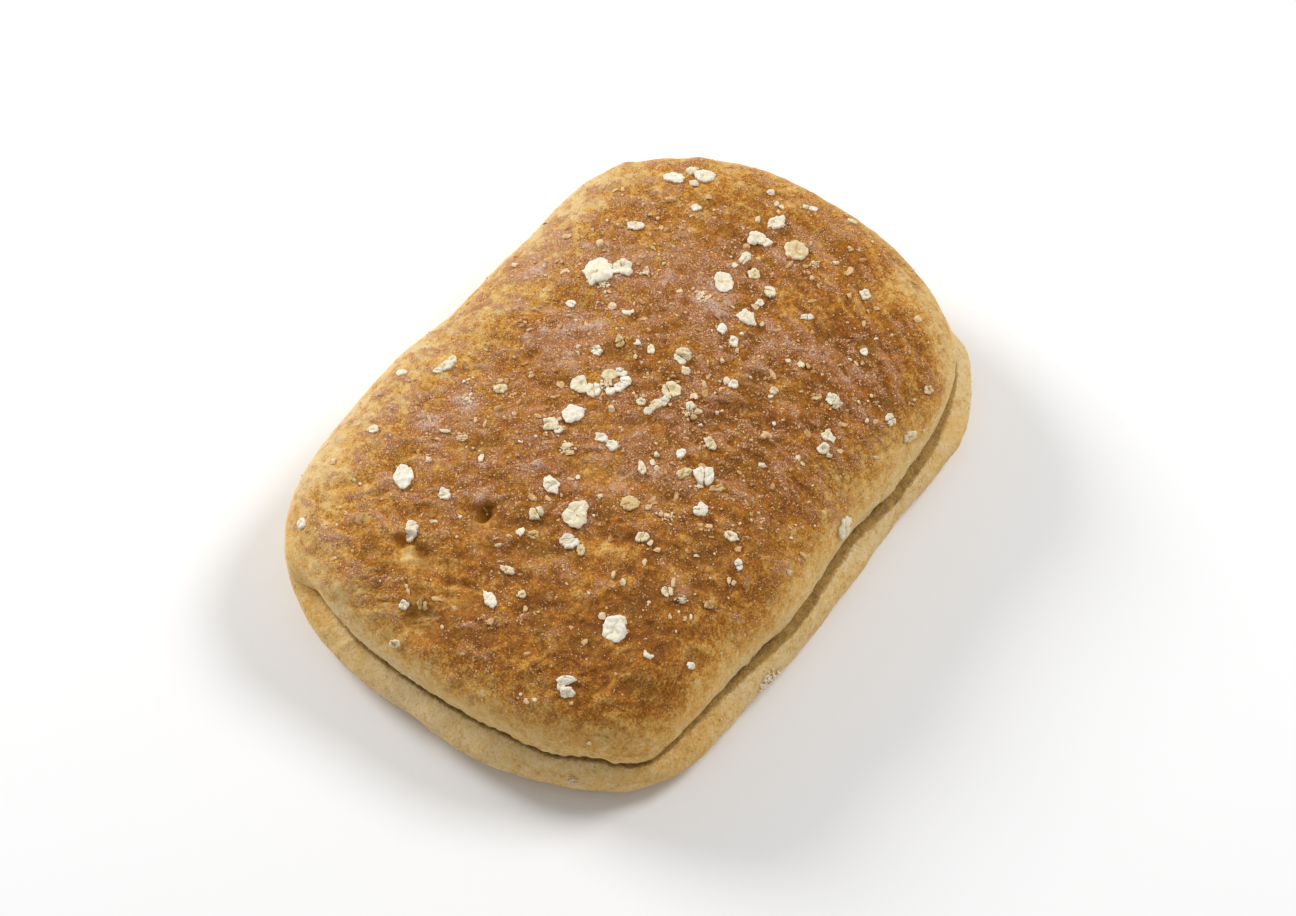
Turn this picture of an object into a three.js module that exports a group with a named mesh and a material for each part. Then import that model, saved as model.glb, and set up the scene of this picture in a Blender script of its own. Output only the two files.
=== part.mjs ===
// Oat flatbread roll: one baked piece, a rounded rectangle about 132 x 95 mm and 30 mm high.
// Millimetres, +Z up. +X runs along the long side, +Y across it, and the flat underside lies at z = 0
// with the origin at the middle of it.
//
// The roll is one piece of dough. Its lower layer stands out as a rounded lip along the short side at -X
// and the long side at -Y, and there a narrow slit runs in between the lip and the domed upper layer.
// The slit closes up at both ends, and on the other two sides the wall runs unbroken from top to bottom.

import * as THREE from 'three';

// ---------------------------------------------------------------- driving sizes, mm and degrees

const HALF_BACK = 63.66;         // middle of the roll to its short side at +X
const HALF_FRONT = 67.05;        // ... to its short side at -X
const HALF_LEFT = 45.94;         // ... to its long side at +Y
const HALF_RIGHT = 47.74;        // ... to its long side at -Y
const CORNERS = [                // how square each corner is: 2 is an ellipse, 4 and more a rounded rectangle
  { at: 45, squareness: 3.36 },
  { at: 135, squareness: 4.30 },
  { at: 225, squareness: 2.61 },
  { at: 315, squareness: 4.51 },
];
const HAND_SHAPING = [           // slow waves round the outline that make it uneven: count, depth, where
  { waves: 3, depth: 1.53, at: -17 },
  { waves: 4, depth: 0.60, at: 144 },
  { waves: 5, depth: 0.41, at: -14 },
  { waves: 6, depth: 0.47, at: -41 },
  { waves: 7, depth: 0.41, at: 67 },
  { waves: 8, depth: 0.80, at: -16 },
  { waves: 9, depth: 0.15, at: -147 },
  { waves: 10, depth: 0.19, at: 25 },
  { waves: 11, depth: 0.11, at: -141 },
  { waves: 12, depth: 0.37, at: 167 },
];
const CENTRE_X = 0.12;           // brings the uneven outline's middle to x = 0, y = 0
const CENTRE_Y = -0.07;

const HEIGHT = 30;               // underside to the top of the crown
const SEAM_HEIGHT = 10.6;        // middle of the slit above the underside
const SLIT_DEPTH = 7.5;          // how far the slit runs in under the upper layer
const SLIT_FROM = 149;           // where the slit starts and ends, degrees round from +X
const SLIT_TO = 333;
const MOUTH_TIGHT = 0.5;         // height of the slit's mouth on the short side
const MOUTH_WIDE = 1.8;          // ... and on the long side, where it gapes
const LIP_OUT = 3.4;             // how far the lip stands out past the upper layer
const LIP_WANDER = [             // where it stands out more or less, as the two layers rose unevenly
  { at: 150, spread: 15, more: 1.5 },
  { at: 195, spread: 26, more: 0.8 },
  { at: 204, spread: 10, more: -1.15 },
  { at: 218, spread: 10, more: -2.0 },
  { at: 226, spread: 17, more: 0.8 },
  { at: 256, spread: 21, more: -0.15 },
  { at: 283, spread: 21, more: 1.0 },
  { at: 295, spread: 13, more: -1.4 },
  { at: 319, spread: 14, more: 2.4 },
];
const SIDE_WANDER = [            // the same for the upper layer's side, which wanders less than its lower edge
  { at: 188, spread: 30, more: 0.4 },
  { at: 218, spread: 14, more: -0.8 },
  { at: 281, spread: 20, more: 0.5 },
  { at: 318, spread: 24, more: 1.3 },
];
const LIP_END = { at: 329, spread: 9, out: 1.5 };       // the lip swells once more before it runs out
const STEP_BACK = { at: 323, spread: 12, by: 1.3 };     // and there the upper layer stands back from the slit
const DOME_BULGE = 0.5;          // how far the upper layer swells over its own lower edge
const CROWN_WAVE = 0.45;         // slow rise and fall of the top
const HOLLOWS = [                // shallow pits that gas bubbles left in the crust: centre, half sizes, turn, depth
  { x: -46.5, y: 14.6, long: 6.0, wide: 3.6, turn: 95, deep: 1.1 },
  { x: -33.0, y: 9.4, long: 3.6, wide: 3.2, turn: 20, deep: 1.1 },
  { x: -43.6, y: 24.5, long: 4.2, wide: 3.2, turn: -60, deep: 0.7 },
  { x: -48.2, y: 2.6, long: 5.0, wide: 3.6, turn: -35, deep: 0.8 },
  { x: -14.0, y: -2.5, long: 9.0, wide: 5.0, turn: -40, deep: 0.6 },
  { x: 14.0, y: 8.0, long: 10.0, wide: 5.0, turn: -35, deep: 0.6 },
];

const AROUND = 100;              // facets round the roll
const CROWN_RINGS = 10;          // rings over the top, inside the shoulder

// ---------------------------------------------------------------- helpers

const RAD = Math.PI / 180;
const ease = (t) => { t = Math.min(1, Math.max(0, t)); return t * t * (3 - 2 * t); };
const degrees = (a) => (((a / RAD) % 360) + 360) % 360;

// 1 at the angle `at`, easing to 0 at `spread` degrees either side of it.
const near = (a, at, spread) =>
  ease(1 - Math.abs(((degrees(a) - at + 540) % 360) - 180) / spread);

// 1 between two angles, easing to 0 at both ends.
function between(a, from, to, easeIn, easeOut) {
  const t = (degrees(a) - from + 360) % 360;
  const length = (to - from + 360) % 360;
  return t < length ? ease(t / easeIn) * ease((length - t) / easeOut) : 0;
}

// ---------------------------------------------------------------- the roll's form

const lipEnd = (a) => LIP_END.out * near(a, LIP_END.at, LIP_END.spread);
const stepBack = (a) => STEP_BACK.by * near(a, STEP_BACK.at, STEP_BACK.spread);

// Distance from the middle to the outline, at the fullest part of the lower layer.
function outline(a) {
  const c = Math.cos(a), s = Math.sin(a);
  const halfX = c > 0 ? HALF_BACK : HALF_FRONT;
  const halfY = s > 0 ? HALF_LEFT : HALF_RIGHT;
  let sum = 0, total = 0;
  for (const { at, squareness } of CORNERS) {
    const w = near(a, at, 90);
    sum += w * squareness;
    total += w;
  }
  const n = sum / total;
  let r = ((Math.abs(c) / halfX) ** n + (Math.abs(s) / halfY) ** n) ** (-1 / n);
  for (const { waves, depth, at } of HAND_SHAPING) r += depth * Math.cos(waves * a - at * RAD);
  return r + lipEnd(a);
}

// Cosine of the angle between the spoke at `a` and the outline's normal there.
function spokeCosine(a) {
  const step = 0.01;
  const slope = (outline(a + step) - outline(a - step)) / (2 * step);
  return 1 / Math.sqrt(1 + (slope / outline(a)) ** 2);
}

const openness = (a) => between(a, SLIT_FROM, SLIT_TO, 11, 9);
const gape = (a) => 0.08 + 0.12 * near(a, 164, 22) + 0.92 * between(a, 212, 338, 40, 18);

// How far the lip stands out past the upper layer's lower edge, and past its side and shoulder.
const wander = (a, terms) => terms.reduce((sum, { at, spread, more }) => sum + more * near(a, at, spread), LIP_OUT);
const inset = (a) => wander(a, LIP_WANDER) * between(a, SLIT_FROM - 2, SLIT_TO + 19, 9, 42) + lipEnd(a);
const sideInset = (a) =>
  wander(a, SIDE_WANDER) * between(a, SLIT_FROM - 12, SLIT_TO + 19, 34, 50) + lipEnd(a) + stepBack(a);

// The section through the side at angle `a`, from the edge of the underside up to the shoulder: pairs of
// distance out from the outline (negative is inside it) and height. Two sections, one with the slit and
// one with the plain wall, are mixed by how open the slit is there.
function section(a) {
  const open = openness(a), g = gape(a), e = inset(a);
  const mouth = MOUTH_TIGHT - 0.12 + (MOUTH_WIDE - MOUTH_TIGHT + 0.12) * g;
  const ledge = 0.25 + 1.5 * g;
  const mid = SEAM_HEIGHT + 0.35 * Math.cos(3 * a - 40 * RAD) + 0.2 * Math.cos(7 * a + 10 * RAD);
  const floor = mid - mouth / 2, roof = mid + mouth / 2;
  const crest = -(e + 0.25 - ledge);
  const m = -e, s = -sideInset(a);
  const u = 0.85 * m + 0.15 * s, v = 0.5 * m + 0.5 * s, w = 0.2 * m + 0.8 * s;
  const slit = [
    [-8, 0], [-4.2, 0.5], [-1.7, 1.9], [-0.35, 3.6], [0, 5.2], [-0.3, 7.0],
    [crest * 0.55, floor - 1.2], [crest * 0.86, floor - 0.35], [crest, floor - 0.02], [crest - 0.45, floor + 0.02],
    [m - 1.8, floor + 0.1], [m - 4.5, mid - 0.1], [m - SLIT_DEPTH, mid], [m - 4.5, mid + 0.1], [m - 1.8, roof - 0.08],
    [m - 0.5, roof + 0.12], [m - 0.1, roof + 0.8], [u + 0.35, roof + 2.4], [v + DOME_BULGE, roof + 4.6],
    [w + 0.1, roof + 7.2], [s - 1.3, roof + 10], [s - 3.6, roof + 12.4], [s - 6.8, roof + 14.2], [s - 11, roof + 15.5],
  ];
  const plain = [
    [-7, 0], [-3.8, 0.5], [-1.8, 1.9], [-0.7, 3.7], [-0.25, 5.4], [-0.05, 7.2],
    [m * 0.3, 8.5], [m * 0.6, 9.2], [m * 0.8, 9.7], [m * 0.9, 10.0],
    [m * 0.95, 10.3], [m, 10.5], [m, 10.7], [m, 10.9], [m, 11.2],
    [m, 11.5], [m, 12.3], [u - 0.1, 14], [v - 0.35, 16],
    [w - 1.1, 18.6], [s - 2.7, 21.3], [s - 5.0, 23.6], [s - 8.2, 25.4], [s - 12, 26.6],
  ];
  return slit.map(([d, z], i) => [open * d + (1 - open) * plain[i][0], open * z + (1 - open) * plain[i][1]]);
}

// Height of the top inside the shoulder. `f` is 0 in the middle and 1 at the shoulder.
function crown(x, y, f, shoulder) {
  let z = shoulder + (HEIGHT - shoulder) * (1 - f * f);
  const fade = ease((1 - f) * 3);
  z -= fade * CROWN_WAVE * (1 - Math.sin(0.085 * x + 0.06 * y + 0.8) * Math.cos(0.11 * y - 0.03 * x + 0.4));
  for (const h of HOLLOWS) {
    const c = Math.cos(h.turn * RAD), s = Math.sin(h.turn * RAD);
    const u = ((x - h.x) * c + (y - h.y) * s) / h.long;
    const v = (-(x - h.x) * s + (y - h.y) * c) / h.wide;
    z -= fade * h.deep * Math.exp(-(u * u + v * v));
  }
  return z;
}

// ---------------------------------------------------------------- the closed solid

function rollGeometry() {
  const positions = [];
  const faces = [];
  const put = (x, y, z) => positions.push(x - CENTRE_X, y - CENTRE_Y, z);

  const rings = [];                                 // rings[i][j] = [x, y, z]
  const spokes = [];
  for (let j = 0; j < AROUND; j++) {
    const a = (2 * Math.PI * j) / AROUND;
    spokes.push({ a, r: outline(a), k: spokeCosine(a), side: section(a) });
  }
  const sideRows = spokes[0].side.length;
  for (let i = 0; i < sideRows; i++) {
    rings.push(spokes.map(({ a, r, k, side }) => {
      const d = r + side[i][0] / k;
      return [d * Math.cos(a), d * Math.sin(a), side[i][1]];
    }));
  }
  const shoulder = rings[sideRows - 1];
  for (let i = 1; i <= CROWN_RINGS; i++) {
    const f = 1 - i / (CROWN_RINGS + 1);
    rings.push(shoulder.map(([x, y, z]) => [x * f, y * f, crown(x * f, y * f, f, z)]));
  }
  for (const ring of rings) for (const p of ring) put(...p);
  const mean = shoulder.reduce((t, p) => t + p[2], 0) / AROUND;
  put(0, 0, crown(0, 0, 0, mean));                  // middle of the crown
  put(0, 0, 0);                                     // middle of the underside
  const top = rings.length * AROUND, bottom = top + 1;

  for (let i = 0; i < rings.length - 1; i++) {
    for (let j = 0; j < AROUND; j++) {
      const k = (j + 1) % AROUND;
      const a = i * AROUND + j, b = i * AROUND + k, c = (i + 1) * AROUND + k, d = (i + 1) * AROUND + j;
      faces.push(a, b, c, a, c, d);
    }
  }
  for (let j = 0; j < AROUND; j++) {
    const k = (j + 1) % AROUND;
    faces.push((rings.length - 1) * AROUND + j, (rings.length - 1) * AROUND + k, top);
    faces.push(k, j, bottom);
  }

  const geometry = new THREE.BufferGeometry();
  geometry.setAttribute('position', new THREE.Float32BufferAttribute(positions, 3));
  geometry.setIndex(faces);
  geometry.computeVertexNormals();
  return geometry;
}

const crust = new THREE.MeshStandardMaterial({ color: 0xb8763f, roughness: 0.82, metalness: 0 });

const roll = new THREE.Mesh(rollGeometry(), crust);
roll.name = 'bread_roll';

const group = new THREE.Group();
group.add(roll);

export default group;
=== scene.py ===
"""Oat flatbread roll: looks, floor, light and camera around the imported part.

The roll's form repeats the CAD's outline, side section and crown at a finer pitch, and adds the crust's
lumps, furrows, pits and grain as geometry. Oat flakes, oat bits and flour lie on the crust as meshes of
their own at true size. All shape work is in millimetres, in the CAD's frame.
"""
import math

import bpy
import numpy as np
from mathutils import Matrix, Vector
from mathutils.bvhtree import BVHTree


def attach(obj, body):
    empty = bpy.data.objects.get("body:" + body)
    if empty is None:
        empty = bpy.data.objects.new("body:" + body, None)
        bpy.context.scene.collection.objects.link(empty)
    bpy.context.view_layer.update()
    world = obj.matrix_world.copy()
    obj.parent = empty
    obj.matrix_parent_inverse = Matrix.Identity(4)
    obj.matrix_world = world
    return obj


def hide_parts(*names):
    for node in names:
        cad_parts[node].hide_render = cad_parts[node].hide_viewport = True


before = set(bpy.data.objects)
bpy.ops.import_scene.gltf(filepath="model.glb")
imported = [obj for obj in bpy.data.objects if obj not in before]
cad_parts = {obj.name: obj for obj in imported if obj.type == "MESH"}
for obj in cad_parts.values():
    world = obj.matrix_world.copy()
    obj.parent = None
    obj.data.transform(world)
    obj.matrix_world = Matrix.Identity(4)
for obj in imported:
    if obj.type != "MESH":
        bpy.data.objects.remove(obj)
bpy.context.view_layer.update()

MM = 0.001
RAD = math.pi / 180

# ---------------------------------------------------------------- camera: the photograph's view

AZIMUTH, ELEVATION, DISTANCE = -53.3, 60.7, 650.0    # degrees, degrees, mm from the target
TARGET = np.array([-0.956, -1.88, 12.0])             # the point that shows at TARGET_PIXEL
TARGET_PIXEL = (640.0, 462.0)
PIXELS = (1296, 916)
PX_PER_MM = 5.285                                    # at the target's distance
FOCAL = PX_PER_MM * DISTANCE                         # in pixels

_a, _e = AZIMUTH * RAD, ELEVATION * RAD
CAM_BACK = np.array([math.sin(_a) * math.cos(_e), -math.cos(_a) * math.cos(_e), math.sin(_e)])
CAM_RIGHT = np.cross([0.0, 0.0, 1.0], CAM_BACK)
CAM_RIGHT /= np.linalg.norm(CAM_RIGHT)
CAM_UP = np.cross(CAM_BACK, CAM_RIGHT)
CAM_AT = TARGET - (
    CAM_RIGHT * (TARGET_PIXEL[0] - PIXELS[0] / 2) / PX_PER_MM
    - CAM_UP * (TARGET_PIXEL[1] - PIXELS[1] / 2) / PX_PER_MM
    - CAM_BACK * DISTANCE
)


def pixel_ray(px, py):
    """Direction of the view through a pixel of the 1296 x 916 frame."""
    d = (
        CAM_RIGHT * (px - PIXELS[0] / 2) / FOCAL
        - CAM_UP * (py - PIXELS[1] / 2) / FOCAL
        - CAM_BACK
    )
    return d / np.linalg.norm(d)


camera_data = bpy.data.cameras.new("camera")
camera_data.sensor_width = 36.0
camera_data.lens = FOCAL / PIXELS[0] * 36.0
camera_data.clip_start = 0.01
camera_data.clip_end = 20.0
camera = bpy.data.objects.new("camera", camera_data)
bpy.context.scene.collection.objects.link(camera)
camera.matrix_world = Matrix(
    [
        [CAM_RIGHT[i], CAM_UP[i], CAM_BACK[i], CAM_AT[i] * MM] for i in range(3)
    ]
    + [[0, 0, 0, 1]]
)
bpy.context.scene.camera = camera

# ---------------------------------------------------------------- the roll's form, as in the CAD

HALF_BACK, HALF_FRONT, HALF_LEFT, HALF_RIGHT = 63.66, 67.05, 45.94, 47.74
CORNERS = [(45, 3.36), (135, 4.30), (225, 2.61), (315, 4.51)]
HAND_SHAPING = [
    (3, 1.53, -17), (4, 0.60, 144), (5, 0.41, -14), (6, 0.47, -41), (7, 0.41, 67),
    (8, 0.80, -16), (9, 0.15, -147), (10, 0.19, 25), (11, 0.11, -141), (12, 0.37, 167),
]
CENTRE_X, CENTRE_Y = 0.12, -0.07
HEIGHT, SEAM_HEIGHT, SLIT_DEPTH = 30.0, 10.6, 7.5
SLIT_FROM, SLIT_TO = 149, 333
MOUTH_TIGHT, MOUTH_WIDE, LIP_OUT, DOME_BULGE, CROWN_WAVE = 0.5, 1.8, 3.4, 0.5, 0.45
LIP_WANDER = [
    (150, 15, 1.5), (195, 26, 0.8), (204, 10, -1.15), (218, 10, -2.0), (226, 17, 0.8),
    (256, 21, -0.15), (283, 21, 1.0), (295, 13, -1.4), (319, 14, 2.4),
]
LIP_END, LIP_END_SPREAD, LIP_END_OUT = 329, 9, 1.5
STEP_BACK, STEP_BACK_SPREAD, STEP_BACK_BY = 323, 12, 1.3
SIDE_WANDER = [(188, 30, 0.4), (218, 14, -0.8), (281, 20, 0.5), (318, 24, 1.3)]


def ease(t):
    t = np.clip(t, 0, 1)
    return t * t * (3 - 2 * t)


def ramp(x, lo, hi):
    return ease((x - lo) / (hi - lo))


def near(a, at, spread):
    return ease(1 - np.abs((np.degrees(a) - at + 180) % 360 - 180) / spread)


def between(a, lo, hi, ease_in, ease_out):
    t = (np.degrees(a) - lo) % 360
    length = (hi - lo) % 360
    return np.where(t < length, ease(t / ease_in) * ease((length - t) / ease_out), 0.0)


def lip_end(a):
    return LIP_END_OUT * near(a, LIP_END, LIP_END_SPREAD)


def step_back(a):
    return STEP_BACK_BY * near(a, STEP_BACK, STEP_BACK_SPREAD)


def outline(a):
    c, s = np.cos(a), np.sin(a)
    half_x = np.where(c > 0, HALF_BACK, HALF_FRONT)
    half_y = np.where(s > 0, HALF_LEFT, HALF_RIGHT)
    weights = [near(a, at, 90) for at, _ in CORNERS]
    n = sum(w * q for w, (_, q) in zip(weights, CORNERS)) / sum(weights)
    r = ((np.abs(c) / half_x) ** n + (np.abs(s) / half_y) ** n) ** (-1 / n)
    for waves, depth, at in HAND_SHAPING:
        r = r + depth * np.cos(waves * a - at * RAD)
    return r + lip_end(a)


def spoke_cosine(a):
    step = 0.01
    slope = (outline(a + step) - outline(a - step)) / (2 * step)
    return 1 / np.sqrt(1 + (slope / outline(a)) ** 2)


def openness(a):
    return between(a, SLIT_FROM, SLIT_TO, 11, 9)


def gape(a):
    return 0.08 + 0.12 * near(a, 164, 22) + 0.92 * between(a, 212, 338, 40, 18)


def wander(a, terms):
    return LIP_OUT + sum(more * near(a, at, spread) for at, spread, more in terms)


def inset(a):
    return wander(a, LIP_WANDER) * between(a, SLIT_FROM - 2, SLIT_TO + 19, 9, 42) + lip_end(a)


def side_inset(a):
    side = wander(a, SIDE_WANDER) * between(a, SLIT_FROM - 12, SLIT_TO + 19, 34, 50)
    return side + lip_end(a) + step_back(a)


def section(a):
    """Distance out from the outline and height of 24 rows from the underside's edge to the shoulder."""
    o, g, e = openness(a), gape(a), inset(a)
    zero = np.zeros_like(a)
    mouth = MOUTH_TIGHT - 0.12 + (MOUTH_WIDE - MOUTH_TIGHT + 0.12) * g
    ledge = 0.25 + 1.5 * g
    mid = SEAM_HEIGHT + 0.35 * np.cos(3 * a - 40 * RAD) + 0.2 * np.cos(7 * a + 10 * RAD)
    floor, roof = mid - mouth / 2, mid + mouth / 2
    crest = -(e + 0.25 - ledge)
    m, s = -e, -side_inset(a)
    u, v, w = 0.85 * m + 0.15 * s, 0.5 * m + 0.5 * s, 0.2 * m + 0.8 * s
    slit = [
        (-8, 0), (-4.2, 0.5), (-1.7, 1.9), (-0.35, 3.6), (0, 5.2), (-0.3, 7.0),
        (crest * 0.55, floor - 1.2), (crest * 0.86, floor - 0.35), (crest, floor - 0.02),
        (crest - 0.45, floor + 0.02), (m - 1.8, floor + 0.1), (m - 4.5, mid - 0.1),
        (m - SLIT_DEPTH, mid), (m - 4.5, mid + 0.1), (m - 1.8, roof - 0.08),
        (m - 0.5, roof + 0.12), (m - 0.1, roof + 0.8), (u + 0.35, roof + 2.4),
        (v + DOME_BULGE, roof + 4.6), (w + 0.1, roof + 7.2), (s - 1.3, roof + 10),
        (s - 3.6, roof + 12.4), (s - 6.8, roof + 14.2), (s - 11, roof + 15.5),
    ]
    plain = [
        (-7, 0), (-3.8, 0.5), (-1.8, 1.9), (-0.7, 3.7), (-0.25, 5.4), (-0.05, 7.2),
        (m * 0.3, 8.5), (m * 0.6, 9.2), (m * 0.8, 9.7), (m * 0.9, 10.0),
        (m * 0.95, 10.3), (m, 10.5), (m, 10.7), (m, 10.9), (m, 11.2),
        (m, 11.5), (m, 12.3), (u - 0.1, 14), (v - 0.35, 16),
        (w - 1.1, 18.6), (s - 2.7, 21.3), (s - 5.0, 23.6), (s - 8.2, 25.4), (s - 12, 26.6),
    ]
    d = np.array([o * (i[0] + zero) + (1 - o) * (p[0] + zero) for i, p in zip(slit, plain)])
    z = np.array([o * (i[1] + zero) + (1 - o) * (p[1] + zero) for i, p in zip(slit, plain)])
    return d, z


def crown(x, y, f, shoulder):
    """Height of the top inside the shoulder, where f is 0 in the middle and 1 at the shoulder."""
    z = shoulder + (HEIGHT - shoulder) * (1 - f * f)
    fade = ease((1 - f) * 3)
    return z - fade * CROWN_WAVE * (
        1 - np.sin(0.085 * x + 0.06 * y + 0.8) * np.cos(0.11 * y - 0.03 * x + 0.4)
    )


# ---------------------------------------------------------------- noise


class Noise:
    """Smooth gradient noise in space, about -1 to 1, the same for the same seed."""

    def __init__(self, seed):
        rng = np.random.default_rng(seed)
        self.table = np.tile(rng.permutation(256), 3)
        g = rng.normal(size=(256, 3))
        self.slopes = g / np.linalg.norm(g, axis=1, keepdims=True)

    def __call__(self, p):
        cell = np.floor(p).astype(np.int64)
        f = p - cell
        cell &= 255
        u = f * f * f * (f * (f * 6 - 15) + 10)
        total = np.zeros(len(p))
        for dx in (0, 1):
            for dy in (0, 1):
                for dz in (0, 1):
                    h = self.table[(cell[:, 0] + dx) & 255]
                    h = self.table[(h + cell[:, 1] + dy) & 255]
                    h = self.table[(h + cell[:, 2] + dz) & 255]
                    dot = ((f - (dx, dy, dz)) * self.slopes[h]).sum(1)
                    w = (
                        (u[:, 0] if dx else 1 - u[:, 0])
                        * (u[:, 1] if dy else 1 - u[:, 1])
                        * (u[:, 2] if dz else 1 - u[:, 2])
                    )
                    total += w * dot
        return total * 1.7

    def layers(self, p, count=3, gain=0.5):
        total, amplitude, scale, size = 0.0, 1.0, 1.0, 0.0
        for i in range(count):
            total = total + amplitude * self(p * scale + 17.3 * i)
            size += amplitude
            amplitude *= gain
            scale *= 2.03
        return total / size * 1.3


# ---------------------------------------------------------------- the roll's mesh

AROUND = 640
LONG, SHORT = 190, 130                # points along the long and short sides: 2 * (190 + 130) = 640
STEPS = [3, 3, 3, 2, 3, 4, 3, 2, 1, 3, 3, 2, 2, 3, 2, 2, 3, 4, 5, 5, 6, 6, 7, 6, 6]


def spokes():
    """Angles of the spokes, evenly spaced along the outline."""
    a = np.linspace(0, 2 * math.pi, 8001)
    r = outline(a)
    x, y = r * np.cos(a), r * np.sin(a)
    s = np.concatenate([[0], np.cumsum(np.hypot(np.diff(x), np.diff(y)))])
    return np.interp(np.arange(AROUND) / AROUND * s[-1], s, a)


def curve_through(points, steps):
    """A smooth curve through each spoke's points: centripetal, so it doesn't loop where they crowd."""
    points = np.concatenate([2 * points[:1] - points[1:2], points])
    rows, at = [points[1]], [0.0]
    for i, count in enumerate(steps):
        p0, p1, p2, p3 = points[i : i + 4]
        t1 = np.maximum(np.linalg.norm(p1 - p0, axis=1), 1e-4) ** 0.5
        t2 = t1 + np.maximum(np.linalg.norm(p2 - p1, axis=1), 1e-4) ** 0.5
        t3 = t2 + np.maximum(np.linalg.norm(p3 - p2, axis=1), 1e-4) ** 0.5
        t1, t2, t3 = t1[:, None], t2[:, None], t3[:, None]
        for k in range(1, count + 1):
            t = t1 + (t2 - t1) * k / count
            a1 = (t1 - t) / t1 * p0 + t / t1 * p1
            a2 = (t2 - t) / (t2 - t1) * p1 + (t - t1) / (t2 - t1) * p2
            a3 = (t3 - t) / (t3 - t2) * p2 + (t - t2) / (t3 - t2) * p3
            b1 = (t2 - t) / t2 * a1 + t / t2 * a2
            b2 = (t3 - t) / (t3 - t1) * a2 + (t - t1) / (t3 - t1) * a3
            rows.append((t2 - t) / (t2 - t1) * b1 + (t - t1) / (t2 - t1) * b2)
            at.append(i + k / count)
    return np.array(rows), np.array(at)


def filled(ring, first, long, short):
    """Plan points of a grid that fills a closed ring, and the ring's index or -1 for each grid point."""
    n = len(ring)
    u = np.arange(long + 1)[:, None] / long
    v = np.arange(short + 1)[None, :] / short
    i_a = (first + np.arange(long + 1)) % n
    i_c = (first - short - np.arange(long + 1)) % n
    i_d = (first - np.arange(short + 1)) % n
    i_b = (first + long + np.arange(short + 1)) % n
    a, c = ring[i_a][:, None, :], ring[i_c][:, None, :]
    d, b = ring[i_d][None, :, :], ring[i_b][None, :, :]
    u, v = u[..., None], v[..., None]
    c00, c10, c11, c01 = ring[i_a[0]], ring[i_a[-1]], ring[i_c[-1]], ring[i_c[0]]
    points = (
        (1 - v) * a + v * c + (1 - u) * d + u * b
        - ((1 - u) * (1 - v) * c00 + u * (1 - v) * c10 + u * v * c11 + (1 - u) * v * c01)
    )
    on_ring = -np.ones((long + 1, short + 1), int)
    on_ring[:, 0], on_ring[:, -1] = i_a, i_c
    on_ring[0, :], on_ring[-1, :] = i_d, i_b
    return points, on_ring


def grid_faces(index, flip=False):
    """Two triangles a cell. The diagonal runs in from each corner, so that no corner triangle is flat."""
    a, b = index[:-1, :-1], index[1:, :-1]
    c, d = index[1:, 1:], index[:-1, 1:]
    nu, nv = a.shape
    iu, iv = np.meshgrid(np.arange(nu) < nu / 2, np.arange(nv) < nv / 2, indexing="ij")
    same = iu == iv
    f1 = np.where(same[..., None], np.stack([a, b, c], -1), np.stack([a, b, d], -1))
    f2 = np.where(same[..., None], np.stack([a, c, d], -1), np.stack([b, c, d], -1))
    f = np.concatenate([f1.reshape(-1, 3), f2.reshape(-1, 3)])
    return f[:, ::-1] if flip else f


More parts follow.
